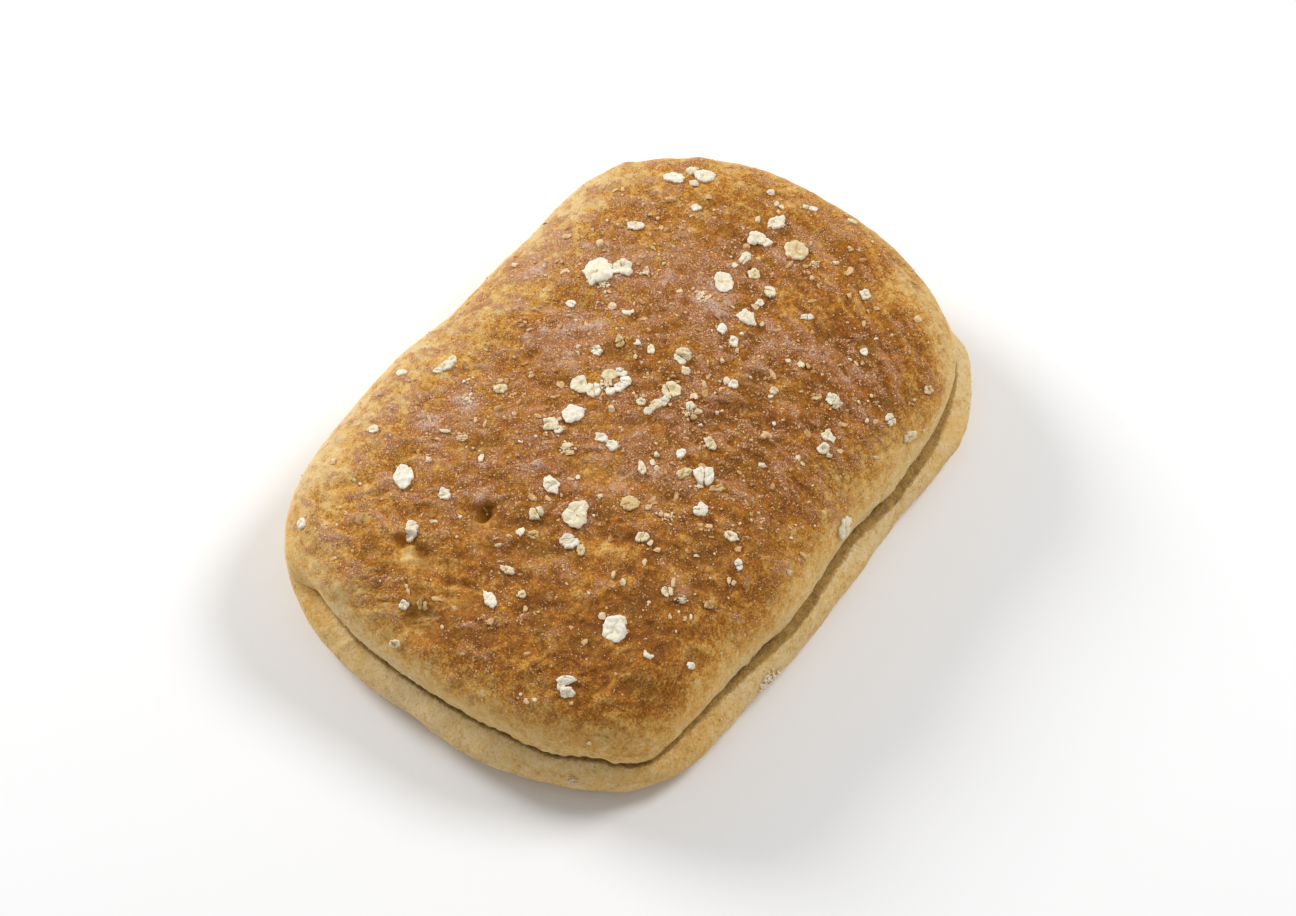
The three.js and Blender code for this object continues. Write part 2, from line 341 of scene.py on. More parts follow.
def roll_mesh():
    """Vertices, triangles, and each vertex's row on the side section (25 and over on the crown)."""
    a = spokes()
    r, k = outline(a), spoke_cosine(a)
    d, z = section(a)
    cos, sin = np.cos(a), np.sin(a)
    control = [np.stack([(r + di / k) * cos, (r + di / k) * sin, zi], 1) for di, zi in zip(d, z)]
    shoulder = control[-1]
    for f in (0.93, 0.86, 0.79):
        x, y = shoulder[:, 0] * f, shoulder[:, 1] * f
        control.append(np.stack([x, y, crown(x, y, f, shoulder[:, 2])], 1))
    rows, at = curve_through(np.array(control), STEPS)
    count = len(rows)
    verts = [rows.reshape(-1, 3)]
    level = [np.repeat(at, AROUND)]
    j = np.arange(AROUND)
    faces = []
    for i in range(count - 1):
        p, q = i * AROUND + j, i * AROUND + (j + 1) % AROUND
        faces.append(np.stack([p, q, q + AROUND], 1))
        faces.append(np.stack([p, q + AROUND, p + AROUND], 1))
    first = int(np.argmin(np.abs(np.degrees(a) - 37.0)))
    first -= first % 2
    # the crown inside the last ring
    ring = rows[-1]
    plan, on_ring = filled(ring[:, :2], first, LONG, SHORT)
    x, y = plan[..., 0], plan[..., 1]
    angle = np.arctan2(y, x) % (2 * math.pi)
    order = np.argsort(np.arctan2(shoulder[:, 1], shoulder[:, 0]) % (2 * math.pi))
    sa = (np.arctan2(shoulder[:, 1], shoulder[:, 0]) % (2 * math.pi))[order]
    sr = np.hypot(shoulder[:, 0], shoulder[:, 1])[order]
    sz = shoulder[:, 2][order]
    sr_at = np.interp(angle, sa, sr, period=2 * math.pi)
    sz_at = np.interp(angle, sa, sz, period=2 * math.pi)
    f = np.hypot(x, y) / sr_at
    zz = crown(x, y, f, sz_at)
    base = count * AROUND
    index = np.where(on_ring >= 0, (count - 1) * AROUND + on_ring, 0)
    inner = on_ring < 0
    index[inner] = base + np.arange(inner.sum())
    verts.append(np.stack([x[inner], y[inner], zz[inner]], 1))
    level.append(np.full(inner.sum(), 26.0))
    faces.append(grid_faces(index))
    # the underside: half the points, then a grid
    base = sum(len(v) for v in verts)
    half = rows[0][::2].copy()
    half[:, :2] *= 0.985
    verts.append(half)
    level.append(np.full(len(half), -1.0))
    h = np.arange(AROUND // 2)
    even, odd, after = 2 * h, 2 * h + 1, (2 * h + 2) % AROUND
    mine, following = base + h, base + (h + 1) % (AROUND // 2)
    faces.append(np.stack([even, mine, odd], 1))
    faces.append(np.stack([odd, following, after], 1))
    faces.append(np.stack([odd, mine, following], 1))
    plan, on_ring = filled(half[:, :2], first // 2, LONG // 2, SHORT // 2)
    index = np.where(on_ring >= 0, base + on_ring, 0)
    inner = on_ring < 0
    index[inner] = base + len(half) + np.arange(inner.sum())
    flat = plan[inner]
    verts.append(np.column_stack([flat, np.zeros(len(flat))]))
    level.append(np.full(len(flat), -1.0))
    faces.append(grid_faces(index, flip=True))
    verts = np.concatenate(verts) - (CENTRE_X, CENTRE_Y, 0.0)
    return verts, np.concatenate(faces), np.concatenate(level)


def vertex_normals(verts, faces):
    a, b, c = verts[faces[:, 0]], verts[faces[:, 1]], verts[faces[:, 2]]
    n = np.cross(b - a, c - a)
    total = np.zeros_like(verts)
    for i in range(3):
        for axis in range(3):
            total[:, axis] += np.bincount(faces[:, i], n[:, axis], len(verts))
    return total / np.maximum(np.linalg.norm(total, axis=1, keepdims=True), 1e-12)


class Surface:
    """Finds the point of a mesh under a pixel of the photograph's view, or along any line."""

    def __init__(self, verts, faces):
        self.tree = BVHTree.FromPolygons(verts.tolist(), faces.tolist())

    def cast(self, start, direction, reach=2000.0):
        at, normal, _, _ = self.tree.ray_cast(Vector(start), Vector(direction), reach)
        return (None, None) if at is None else (np.array(at), np.array(normal))

    def pixel(self, px, py):
        return self.cast(CAM_AT, pixel_ray(px, py))


def view_axes(normal):
    """Two axes along the surface: one that runs right in the photograph, and one that runs up in it."""
    right = CAM_RIGHT - normal * (CAM_RIGHT @ normal)
    right /= np.linalg.norm(right)
    return right, np.cross(normal, right)


verts, faces, level = roll_mesh()
angles = np.arctan2(verts[:, 1] + CENTRE_Y, verts[:, 0] + CENTRE_X)
normals = vertex_normals(verts, faces)
smooth = Surface(verts, faces)

# Pits and furrows of the crust: pixel of the shaded side, half length and half width in mm, turn in the
# view (degrees anticlockwise from the right), depth in mm, and how steep its walls are.
HOLLOWS = [
    (485, 507, 1.9, 1.5, 60, 2.1, 2.4), (482, 510, 3.8, 2.8, 20, 0.7, 1.2), (478, 524, 4.0, 2.0, 60, 0.45, 1.0),
    (402, 537, 2.3, 1.2, -6, 1.5, 2.4), (426, 553, 3.2, 1.6, -60, 1.5, 2.4), (413, 550, 4.6, 2.8, -44, 0.7, 1.6),
    (386, 514, 3.6, 0.8, -62, 0.9, 1.2), (381, 490, 1.2, 0.9, 0, 0.7, 1.2), (358, 480, 4.2, 0.9, 8, 0.8, 1.2),
    (464, 597, 3.4, 2.4, -20, 0.9, 1.8), (460, 583, 3.2, 0.9, -14, 1.0, 1.8), (423, 617, 4.2, 3.6, 10, 1.1, 1.9),
    (500, 478, 2.8, 0.9, -25, 0.8, 1.2), (513, 521, 3.6, 1.5, 12, 0.9, 1.3), (540, 524, 2.6, 1.0, 12, 0.6, 1.2),
    (340, 443, 3.4, 2.6, 40, 0.4, 1.0), (600, 470, 7.0, 3.0, -10, 0.5, 1.0), (430, 514, 4.6, 1.6, -6, 0.6, 1.0),
    (634, 372, 4.0, 1.6, -10, 0.6, 1.2), (629, 420, 3.4, 1.1, -4, 0.8, 1.2), (655, 420, 3.0, 1.0, -8, 0.6, 1.2),
    (706, 419, 3.6, 1.2, 10, 0.8, 1.2), (741, 406, 3.2, 1.2, -3, 0.8, 1.2), (661, 498, 5.0, 1.3, -3, 0.75, 1.2),
    (602, 532, 6.0, 1.6, -6, 0.6, 1.2), (700, 521, 4.2, 1.0, 4, 0.75, 1.2), (636, 477, 5.5, 1.4, -20, 0.5, 1.0),
    (543, 305, 3.0, 1.4, -8, 0.8, 1.2), (690, 580, 6.0, 1.5, -12, 0.4, 1.0), (646, 622, 1.7, 0.9, -20, 0.5, 1.2),
    (676, 640, 3.2, 2.0, -25, 0.4, 1.0), (600, 606, 6.0, 1.5, -4, 0.35, 1.0), (888, 350, 2.6, 1.2, -20, 0.4, 1.0),
    (811, 492, 3.4, 0.9, -38, 0.6, 1.0), (796, 540, 3.6, 1.4, -40, 0.5, 1.0), (878, 439, 3.6, 0.9, -60, 0.6, 1.0),
    (771, 400, 3.0, 1.0, -4, 0.5, 1.2), (520, 440, 5.0, 1.4, -14, 0.4, 1.0), (473, 446, 4.2, 1.5, 14, 0.7, 1.0),
    (610, 350, 5.0, 1.3, -5, 0.5, 1.0), (558, 379, 4.0, 1.5, 4, 0.7, 1.1), (506, 546, 5.6, 1.6, 2, 0.7, 1.1),
    (733, 472, 4.6, 1.5, -36, 0.6, 1.1), (496, 577, 3.8, 2.2, -7, 0.6, 1.1), (736, 518, 5.0, 1.0, -27, 0.6, 1.1),
    (785, 233, 1.6, 1.2, 0, 0.7, 1.2), (549, 606, 3.6, 1.3, 13, 0.6, 1.1), (576, 335, 3.4, 1.4, -8, 0.6, 1.1),
    (399, 596, 3.8, 2.0, 37, 0.5, 1.0), (530, 353, 1.9, 1.1, 29, 1.0, 1.3), (756, 377, 2.4, 1.2, -3, 0.6, 1.1),
    (476, 368, 3.6, 1.2, 9, 0.6, 1.1), (536, 402, 3.8, 1.0, -5, 0.6, 1.1), (664, 376, 3.2, 1.2, -14, 0.5, 1.1),
    (547, 553, 2.8, 1.2, 21, 0.5, 1.1), (530, 575, 2.6, 1.4, -21, 0.6, 1.1), (455, 558, 3.6, 1.3, 23, 0.5, 1.1),
    (597, 454, 1.8, 1.2, -70, 0.5, 1.1), (850, 412, 2.2, 1.2, -24, 0.5, 1.1), (626, 538, 2.4, 1.1, 0, 0.6, 1.1),
    (767, 460, 2.2, 1.0, -28, 0.5, 1.1), (441, 439, 2.8, 1.4, -21, 0.4, 1.0), (812, 429, 2.4, 0.9, 12, 0.6, 1.1),
    (369, 552, 1.8, 1.2, 45, 0.6, 1.1), (634, 317, 1.5, 1.1, 56, 1.0, 1.3), (579, 315, 2.8, 1.3, -11, 0.5, 1.1),
    (787, 398, 2.2, 1.2, -36, 0.5, 1.1), (595, 409, 2.0, 0.9, 5, 0.5, 1.1), (574, 357, 3.0, 1.0, 18, 0.5, 1.1),
    (716, 564, 4.4, 1.3, -23, 0.4, 1.0), (670, 311, 2.7, 1.0, -21, 0.6, 1.1), (503, 338, 2.5, 0.9, -26, 0.6, 1.1),
    (690, 300, 1.4, 1.1, 20, 0.6, 1.1), (727, 318, 1.6, 1.0, 20, 0.6, 1.1), (450, 349, 3.0, 1.1, 19, 0.4, 1.0),
    (346, 644, 2.4, 0.6, 29, -0.35, 1.0), (460, 737, 3.6, 0.5, -27, 0.25, 1.0), (395, 700, 2.6, 0.6, -40, 0.25, 1.0),
]
AWAY_FROM_LIGHT = np.array([-0.92, -0.36, 0.0])


def furrow_line(across, along):
    """Runs level through the middle of the view and bends down towards the right, as the furrows do."""
    return along + 0.015 * np.maximum(across - 3, 0) ** 2 - 0.003 * np.maximum(-20 - across, 0) ** 2


def relief(verts, normals, level, angles):
    """How far each vertex moves out along its normal, and the parts of that which colour follows."""
    dome = ramp(level, 15.5, 18.5)
    top = ramp(level, 18.0, 22.0)
    lower = (level < 9.5) & (level > -0.5)
    lower = lower * ramp(level, 0.5, 3.0)
    slit = ((level >= 9.5) & (level < 15.5)).astype(float)
    plain = 1 - openness(angles)
    slit, lower = slit * (1 - plain), np.maximum(lower, slit * plain)
    lumps = Noise(3).layers(verts / 15.0, 2)
    swell = Noise(4).layers(verts / 6.5, 2)
    out = (0.14 * dome + 0.22 * top + 0.20 * lower) * lumps + (0.09 * dome + 0.22 * top + 0.28 * lower) * swell
    # Furrows across the roll, with their steeper wall on the near side.
    right = np.array([CAM_RIGHT[0], CAM_RIGHT[1], 0.0])
    up = np.array([-right[1], right[0], 0.0])
    warp = Noise(8).layers(verts / 8.0, 2)
    across, along = verts @ right, verts @ up
    line = furrow_line(across, along) + 1.5 * warp
    q = np.stack([across / 7.6, line / 3.3, verts[:, 2] / 5.0], 1)
    lean = Noise(5).layers(q, 2, 0.6)
    q[:, 1] += 0.5 * lean
    furrow = np.clip(2.4 * (np.abs(Noise(5).layers(q, 2, 0.6)) - 0.27), -0.6, 0.8)
    patch = ramp(Noise(6)(verts / 19.0) + 0.3 * Noise(7)(verts / 8.0), -0.45, 0.35)
    out += 0.42 * top * (0.5 + 0.5 * patch) * furrow
    medium = Noise(9).layers(verts / 4.4, 3, 0.62)
    medium = 0.35 * medium + 1.5 * (np.abs(medium) - 0.25)
    out += (0.36 * top * (0.6 + 0.4 * patch) + 0.06 * dome + 0.15 * lower) * medium
    grain = Noise(10).layers(verts / 1.15, 2, 0.7)
    out += (0.12 * top + 0.03 * dome + 0.07 * lower + 0.10 * slit) * grain
    # stretch marks along the sides
    round_ = np.stack([angles * 7.0, verts[:, 2] / 1.3, np.zeros(len(verts))], 1)
    out += (0.10 * lower + 0.03 * dome * (1 - top)) * Noise(16).layers(round_, 2)
    # The lip's upper edge and the dome's lower edge are torn, crumbly ones.
    edge = np.exp(-(((level - 8.3) / 1.2) ** 2)) * openness(angles)
    out += edge * (0.26 * Noise(11).layers(verts / 1.4, 2) + 0.26 * Noise(13).layers(verts / 5.0, 2))
    rim = np.exp(-(((level - 15.9) / 1.1) ** 2)) * openness(angles)
    out += rim * (0.34 * Noise(14).layers(verts / 1.2, 2) + 0.34 * Noise(15).layers(verts / 3.6, 2))
    return out - 0.12 * top, top, dome, patch, furrow, medium


out, top, dome, patch, furrow, medium = relief(verts, normals, level, angles)
hollow_mask = np.zeros(len(verts))
painted_wall_shade = np.zeros(len(verts))
pit = np.zeros(len(verts))
for px, py, long, wide, turn, deep, steep in HOLLOWS:
    at, normal = smooth.pixel(px, py)
    if at is None:
        continue
    if deep > 0.3:
        at = at + AWAY_FROM_LIGHT * 0.5 * wide
    right, up = view_axes(normal)
    c, s = math.cos(turn * RAD), math.sin(turn * RAD)
    d = verts - at
    near_by = np.abs(d @ normal) < 5
    u = (d @ (right * c + up * s)) / long
    v = (d @ (-right * s + up * c)) / wide
    w = np.exp(-((u * u + v * v) ** steep)) * near_by
    out -= deep * w
    hollow_mask = np.maximum(hollow_mask, w * min(1.0, abs(deep) / 0.9))
    # painted shade: how much of each hollow's wall faces away from the light, to be painted browner
    painted_wall_shade += np.clip(deep, 0, 1) * w * np.clip(-(d @ AWAY_FROM_LIGHT) / wide, 0, 1)
    if deep > 1.8:
        pit = np.maximum(pit, w)

verts = verts + normals * out[:, None]
under = level < 0.5
verts[under, 2] = np.abs(verts[under, 2])
flat = level < -0.5
rest = Noise(12).layers(verts[flat] / 9.0, 3)
verts[flat, 2] = np.maximum(0.0, rest - 0.1) * 0.5
verts[:, 2] = np.maximum(verts[:, 2], 0.0)
normals = vertex_normals(verts, faces)
crust = Surface(verts, faces)

# ---------------------------------------------------------------- where the crust is brown, floury or pale

z = verts[:, 2]
# how browned the crust is; painted shade is added to it below, in the valleys and on the hollows' shaded walls
brown_and_shade = (
    0.07
    + 0.19 * ramp(level, 16.8, 19.8)
    + 0.27 * ramp(level, 18.8, 21.6)
    + 0.17 * ramp(level, 20.5, 23.5)
    + 0.04 * ramp(level, 22.5, 26.0)
)
# Towards the long side without a slit and the short one beside it, the crust is more golden.
brown_and_shade -= top * (0.33 * ramp(verts[:, 1], 6, 44) + 0.10 * ramp(verts[:, 0], 34, 62))
corner = near(angles, 312, 34)
lower_brown = 0.03 + 0.10 * corner - 0.14 * near(angles, 338, 34) + 0.16 * ramp(4.6 - z, 0.0, 4.2)
brown_and_shade = np.where(level < 9.5, lower_brown + 0.10 * near(angles, 262, 40), brown_and_shade)
brown_and_shade = np.where(level < -0.5, 0.62, brown_and_shade)
# The two sides without a slit are paler along their edge.
far_side = between(angles, 20, 150, 30, 20) * ramp(level, 17, 19)
brown_and_shade -= 0.12 * far_side * (1 - ramp(level, 21, 25))
brown_and_shade += 0.15 * Noise(20).layers(verts / 9.0, 3) * np.clip(dome + 0.3, 0, 1)
# painted shade in the creases: the valleys of the furrows and lumps are painted browner
brown_and_shade += top * (-0.07 * furrow - 0.05 * medium)
# painted shade: the hollows' walls that face away from the light are painted browner
brown_and_shade += 0.20 * np.clip(painted_wall_shade, 0, 1)

# Patches that the view shows: pixel, half sizes in mm, turn, and what they add to brown and to flour.
PATCHES = [
    (938, 340, 10, 3.5, -62, -0.36, -0.2), (905, 285, 8, 3.5, -48, -0.22, -0.1), (845, 470, 6, 4, 30, -0.16, -0.2),
    (530, 250, 10, 6, 45, -0.06, 0.25), (375, 425, 7, 4, 45, -0.06, 0.10), (800, 300, 7, 4, -20, -0.12, -0.2),
    (660, 680, 14, 9, 20, 0.06, -0.30), (740, 590, 9, 8, 45, 0.02, -0.25), (520, 660, 9, 6, -20, 0.02, -0.2),
    (850, 560, 10, 5, 48, -0.04, -0.2), (620, 320, 14, 11, 0, 0.0, 0.14), (480, 395, 14, 8, 30, -0.02, 0.16),
    (355, 470, 5, 9, -35, -0.10, 0.20), (540, 262, 7, 4, 45, -0.10, 0.2), (560, 345, 10, 8, 0, 0.0, 0.20),
    (600, 430, 12, 6, 0, -0.06, 0.25), (560, 470, 12, 6, -6, -0.06, 0.2), (640, 215, 8, 4, 0, -0.10, 0.15),
    (450, 550, 8, 5, 0, -0.08, 0.0), (500, 510, 6, 4, 0, -0.08, 0.1), (650, 690, 8, 5, 30, -0.08, 0.0),
    (768, 455, 8, 5, -30, 0.08, -0.1), (600, 750, 14, 5, -10, 0.15, 0.0), (685, 738, 12, 6, 40, 0.14, 0.0),
    (620, 780, 16, 3, 0, 0.16, 0.0), (360, 650, 8, 4, -45, 0.06, 0.0), (304, 590, 5, 9, 0, 0.24, 0.0),
    (475, 550, 12, 8, 0, -0.08, -0.1), (552, 504, 8, 5, 0, -0.06, 0.0), (552, 405, 7, 4, 0, -0.10, 0.15),
    (600, 262, 8, 6, 0, -0.10, 0.15), (696, 264, 8, 6, 0, -0.07, 0.12), (744, 408, 7, 5, 0, -0.10, 0.0),
    (932, 360, 5, 7, 0, 0.12, 0.0), (886, 262, 7, 5, -50, 0.16, 0.0), (790, 312, 6, 5, 0, 0.04, -0.15),
    (648, 552, 7, 5, 0, -0.06, 0.0), (648, 648, 7, 5, 0, -0.06, 0.0), (450, 690, 10, 4, -30, 0.05, 0.0),
    (312, 635, 5, 6, -50, 0.14, 0.0), (955, 400, 3, 9, 80, -0.06, 0.0),
    (660, 185, 14, 5, 0, -0.10, 0.0), (400, 380, 7, 4, 45, -0.10, 0.15), (590, 200, 8, 4, 45, -0.08, 0.1),
    (445, 505, 7, 4, 10, -0.10, 0.0), (385, 500, 5, 4, 10, -0.10, 0.0),
    (668, 512, 5, 3, -10, -0.16, 0.0), (440, 640, 7, 5, -10, 0.04, -0.2), (470, 545, 6, 4, 0, -0.08, 0.0),
    (560, 335, 6, 5, 0, 0.0, 0.40), (600, 255, 9, 6, 10, 0.0, 0.25), (700, 290, 10, 8, 0, 0.02, 0.30),
    (690, 430, 10, 7, 0, 0.05, 0.20), (640, 470, 10, 6, -8, 0.0, 0.15), (600, 468, 6, 4, -10, -0.25, 0.0),
    (427, 426, 4, 3.4, -30, 0.0, 0.65), (468, 400, 2.6, 2.6, 0, 0.0, 0.75), (792, 345, 4, 3.6, 0, 0.05, 0.50),
    (858, 373, 2.6, 1.1, -20, 0.0, 0.60), (897, 323, 1.8, 1.2, 0, 0.0, 0.55), (720, 300, 5, 5, 0, 0.0, 0.25),
    (423, 620, 4.5, 4.0, 0, -0.05, -0.6), (464, 596, 3.4, 2.6, 0, -0.30, -0.4), (340, 443, 3.4, 2.6, 40, -0.10, -0.5),
    (342, 606, 6, 3.5, -50, -0.14, 0.0), (330, 480, 8, 4, 60, -0.12, -0.1), (600, 730, 12, 3.5, 0, -0.05, -0.3),
    (880, 300, 8, 8, 0, 0.0, -0.25), (900, 430, 7, 5, 45, -0.12, -0.1), (700, 640, 8, 5, 45, -0.05, -0.1),
    (640, 640, 12, 5, 0, 0.05, -0.1), (680, 580, 14, 7, 0, 0.05, 0.0), (740, 430, 14, 9, 0, 0.06, 0.1),
    (500, 600, 9, 8, 0, 0.04, 0.0), (560, 520, 8, 7, 0, 0.04, 0.0), (460, 340, 10, 5, 40, -0.06, 0.0),
    (730, 200, 10, 5, 0, -0.02, -0.2), (842, 400, 9, 9, 0, 0.06, 0.1), (586, 545, 5, 2, -6, -0.22, -0.1),
    (742, 345, 6, 5, 0, 0.02, 0.2), (500, 470, 10, 5, -10, 0.04, 0.15), (470, 500, 5, 4, 0, 0.03, 0.2),
    (620, 700, 11, 5, 0, 0.10, -0.3), (860, 340, 8, 8, 0, 0.15, 0.0), (413, 552, 3.2, 1.8, -44, -0.34, -0.3),
    (484, 520, 3.0, 1.6, 20, -0.22, -0.3), (600, 640, 16, 10, 0, 0.0, -0.22),
    (560, 740, 14, 7, -15, 0.0, -0.22), (690, 690, 12, 6, 45, -0.04, -0.22), (640, 560, 12, 6, 0, 0.0, -0.15),
]
flour = 0.20 + 0.24 * Noise(21).layers(verts / 12.0, 3) + 0.05 * furrow
for px, py, long, wide, turn, add_brown, add_flour in PATCHES:
    at, normal = smooth.pixel(px, py)
    if at is None:
        continue
    right, up = view_axes(normal)
    c, s = math.cos(turn * RAD), math.sin(turn * RAD)
    d = verts - at
    u = (d @ (right * c + up * s)) / long
    v = (d @ (-right * s + up * c)) / wide
    w = np.exp(-(u * u + v * v)) * (np.abs(d @ normal) < 8)
    brown_and_shade += add_brown * w
    flour += add_flour * w
flour = flour * ramp(level, 17.5, 21.5)
flour = np.where(level < 9.5, 0.05, flour)
brown_and_shade = np.clip(brown_and_shade, 0, 1.2)
flour = np.clip(flour, -0.4, 1)
rough_crust = np.clip(ramp(level, 18.0, 21.5) * (1 - 0.7 * hollow_mask), 0, 1)
# how far into the slit a point lies: there the crust takes the torn crumb's colour with painted shade, darker deeper in
in_slit = 0.58 * ramp(level + 0.5 * Noise(22)(verts / 1.6), 6.6, 9.0) + 0.42 * ramp(level, 9.4, 11.2)
in_slit *= (1 - ramp(level, 15.5, 16.7)) * openness(angles)
# height of the relief for colour, less the painted wall shade: low values are painted browner as shade
ridge_and_shade = np.clip(0.5 + top * (0.50 * furrow + 0.50 * medium - 0.5 * painted_wall_shade), 0, 1)


def add_object(name, verts, faces, attributes, material, shade_smooth=True):
    mesh = bpy.data.meshes.new(name)
    mesh.from_pydata((verts * MM).tolist(), [], faces.tolist())
    for key, values in attributes.items():
        layer = mesh.attributes.new(key, "FLOAT", "POINT")
        layer.data.foreach_set("value", np.asarray(values, np.float32))
    if shade_smooth:
        mesh.polygons.foreach_set("use_smooth", np.ones(len(faces), bool))
    mesh.materials.append(material)
    mesh.update()
    obj = bpy.data.objects.new(name, mesh)
    bpy.context.scene.collection.objects.link(obj)
    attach(obj, "root")
    return obj


# ---------------------------------------------------------------- materials


def linear(r, g, b):
    """Display colour, 0 to 255, as the linear colour that a shader takes."""
    c = np.array([r, g, b]) / 255.0
    c = np.where(c <= 0.04045, c / 12.92, ((c + 0.055) / 1.055) ** 2.4)
    return (float(c[0]), float(c[1]), float(c[2]), 1.0)


class Tree:
    """Short calls for building a material's nodes."""

    def __init__(self, name):
        self.material = bpy.data.materials.new(name)
        self.material.use_nodes = True
        self.tree = self.material.node_tree
        self.tree.nodes.clear()
        self.output = self.tree.nodes.new("ShaderNodeOutputMaterial")
        self.shader = self.tree.nodes.new("ShaderNodeBsdfPrincipled")
        self.link(self.shader.outputs[0], self.output.inputs["Surface"])
        coords = self.tree.nodes.new("ShaderNodeTexCoord")
        scale = self.tree.nodes.new("ShaderNodeMapping")
        scale.inputs["Scale"].default_value = (1000, 1000, 1000)      # millimetres
        self.link(coords.outputs["Object"], scale.inputs["Vector"])
        self.mm = scale.outputs["Vector"]

    def link(self, a, b):
        self.tree.links.new(a, b)

    def put(self, value, socket):
        if hasattr(value, "is_output"):
            self.link(value, socket)
        else:
            socket.default_value = value

    def attribute(self, name):
        node = self.tree.nodes.new("ShaderNodeAttribute")
        node.attribute_name = name
        return node.outputs["Fac"]

    def noise(self, per_mm, detail=2.0, rough=0.5, vector=None, distortion=0.0):
        node = self.tree.nodes.new("ShaderNodeTexNoise")
        self.link(vector or self.mm, node.inputs["Vector"])
        node.inputs["Scale"].default_value = per_mm
        node.inputs["Detail"].default_value = detail
        node.inputs["Roughness"].default_value = rough
        node.inputs["Distortion"].default_value = distortion
        return node.outputs["Fac"]

    def cells(self, per_mm, vector=None, randomness=1.0):
        node = self.tree.nodes.new("ShaderNodeTexVoronoi")
        self.link(vector or self.mm, node.inputs["Vector"])
        node.inputs["Scale"].default_value = per_mm
        node.inputs["Randomness"].default_value = randomness
        split = self.tree.nodes.new("ShaderNodeSeparateColor")
        self.link(node.outputs["Color"], split.inputs[0])
        return node.outputs["Distance"], split.outputs[0], split.outputs[1], split.outputs[2]

    def warped(self, per_mm, amount):
        """The position pushed about by a noise, so that cells get uneven outlines."""
        noise = self.tree.nodes.new("ShaderNodeTexNoise")
        self.link(self.mm, noise.inputs["Vector"])
        noise.inputs["Scale"].default_value = per_mm
        noise.inputs["Detail"].default_value = 1.0
        push = self.tree.nodes.new("ShaderNodeVectorMath")
        push.operation = "MULTIPLY_ADD"
        self.link(noise.outputs["Color"], push.inputs[0])
        push.inputs[1].default_value = (amount, amount, amount)
        self.link(self.mm, push.inputs[2])
        return push.outputs[0]

    def math(self, operation, a, b=0.0, c=0.0, clamp=False):
        node = self.tree.nodes.new("ShaderNodeMath")
        node.operation = operation
        node.use_clamp = clamp
        for value, socket in zip((a, b, c), node.inputs):
            self.put(value, socket)
        return node.outputs[0]

    def step(self, value, lo, hi, out_lo=0.0, out_hi=1.0):
        node = self.tree.nodes.new("ShaderNodeMapRange")
        node.interpolation_type = "SMOOTHSTEP"
        self.put(value, node.inputs["Value"])
        for key, v in (("From Min", lo), ("From Max", hi), ("To Min", out_lo), ("To Max", out_hi)):
            self.put(v, node.inputs[key])
        return node.outputs["Result"]

    def mix(self, factor, a, b, mode="MIX"):
        node = self.tree.nodes.new("ShaderNodeMix")
        node.data_type = "RGBA"
        node.blend_type = mode
        node.clamp_factor = True
        self.put(factor, node.inputs[0])
        self.put(a, node.inputs[6])
        self.put(b, node.inputs[7])
        return node.outputs[2]

    def colours(self, value, stops):
        node = self.tree.nodes.new("ShaderNodeValToRGB")
        self.put(value, node.inputs[0])
        ramp_ = node.color_ramp
        while len(ramp_.elements) < len(stops):
            ramp_.elements.new(0.5)
        for element, (at, colour) in zip(ramp_.elements, stops):
            element.position = at
            element.color = colour
        return node.outputs[0]

    def bump(self, height, distance, strength=1.0, normal=None):
        node = self.tree.nodes.new("ShaderNodeBump")
        node.inputs["Strength"].default_value = strength
        node.inputs["Distance"].default_value = distance
        self.link(height, node.inputs["Height"])
        if normal is not None:
            self.link(normal, node.inputs["Normal"])
        return node.outputs[0]


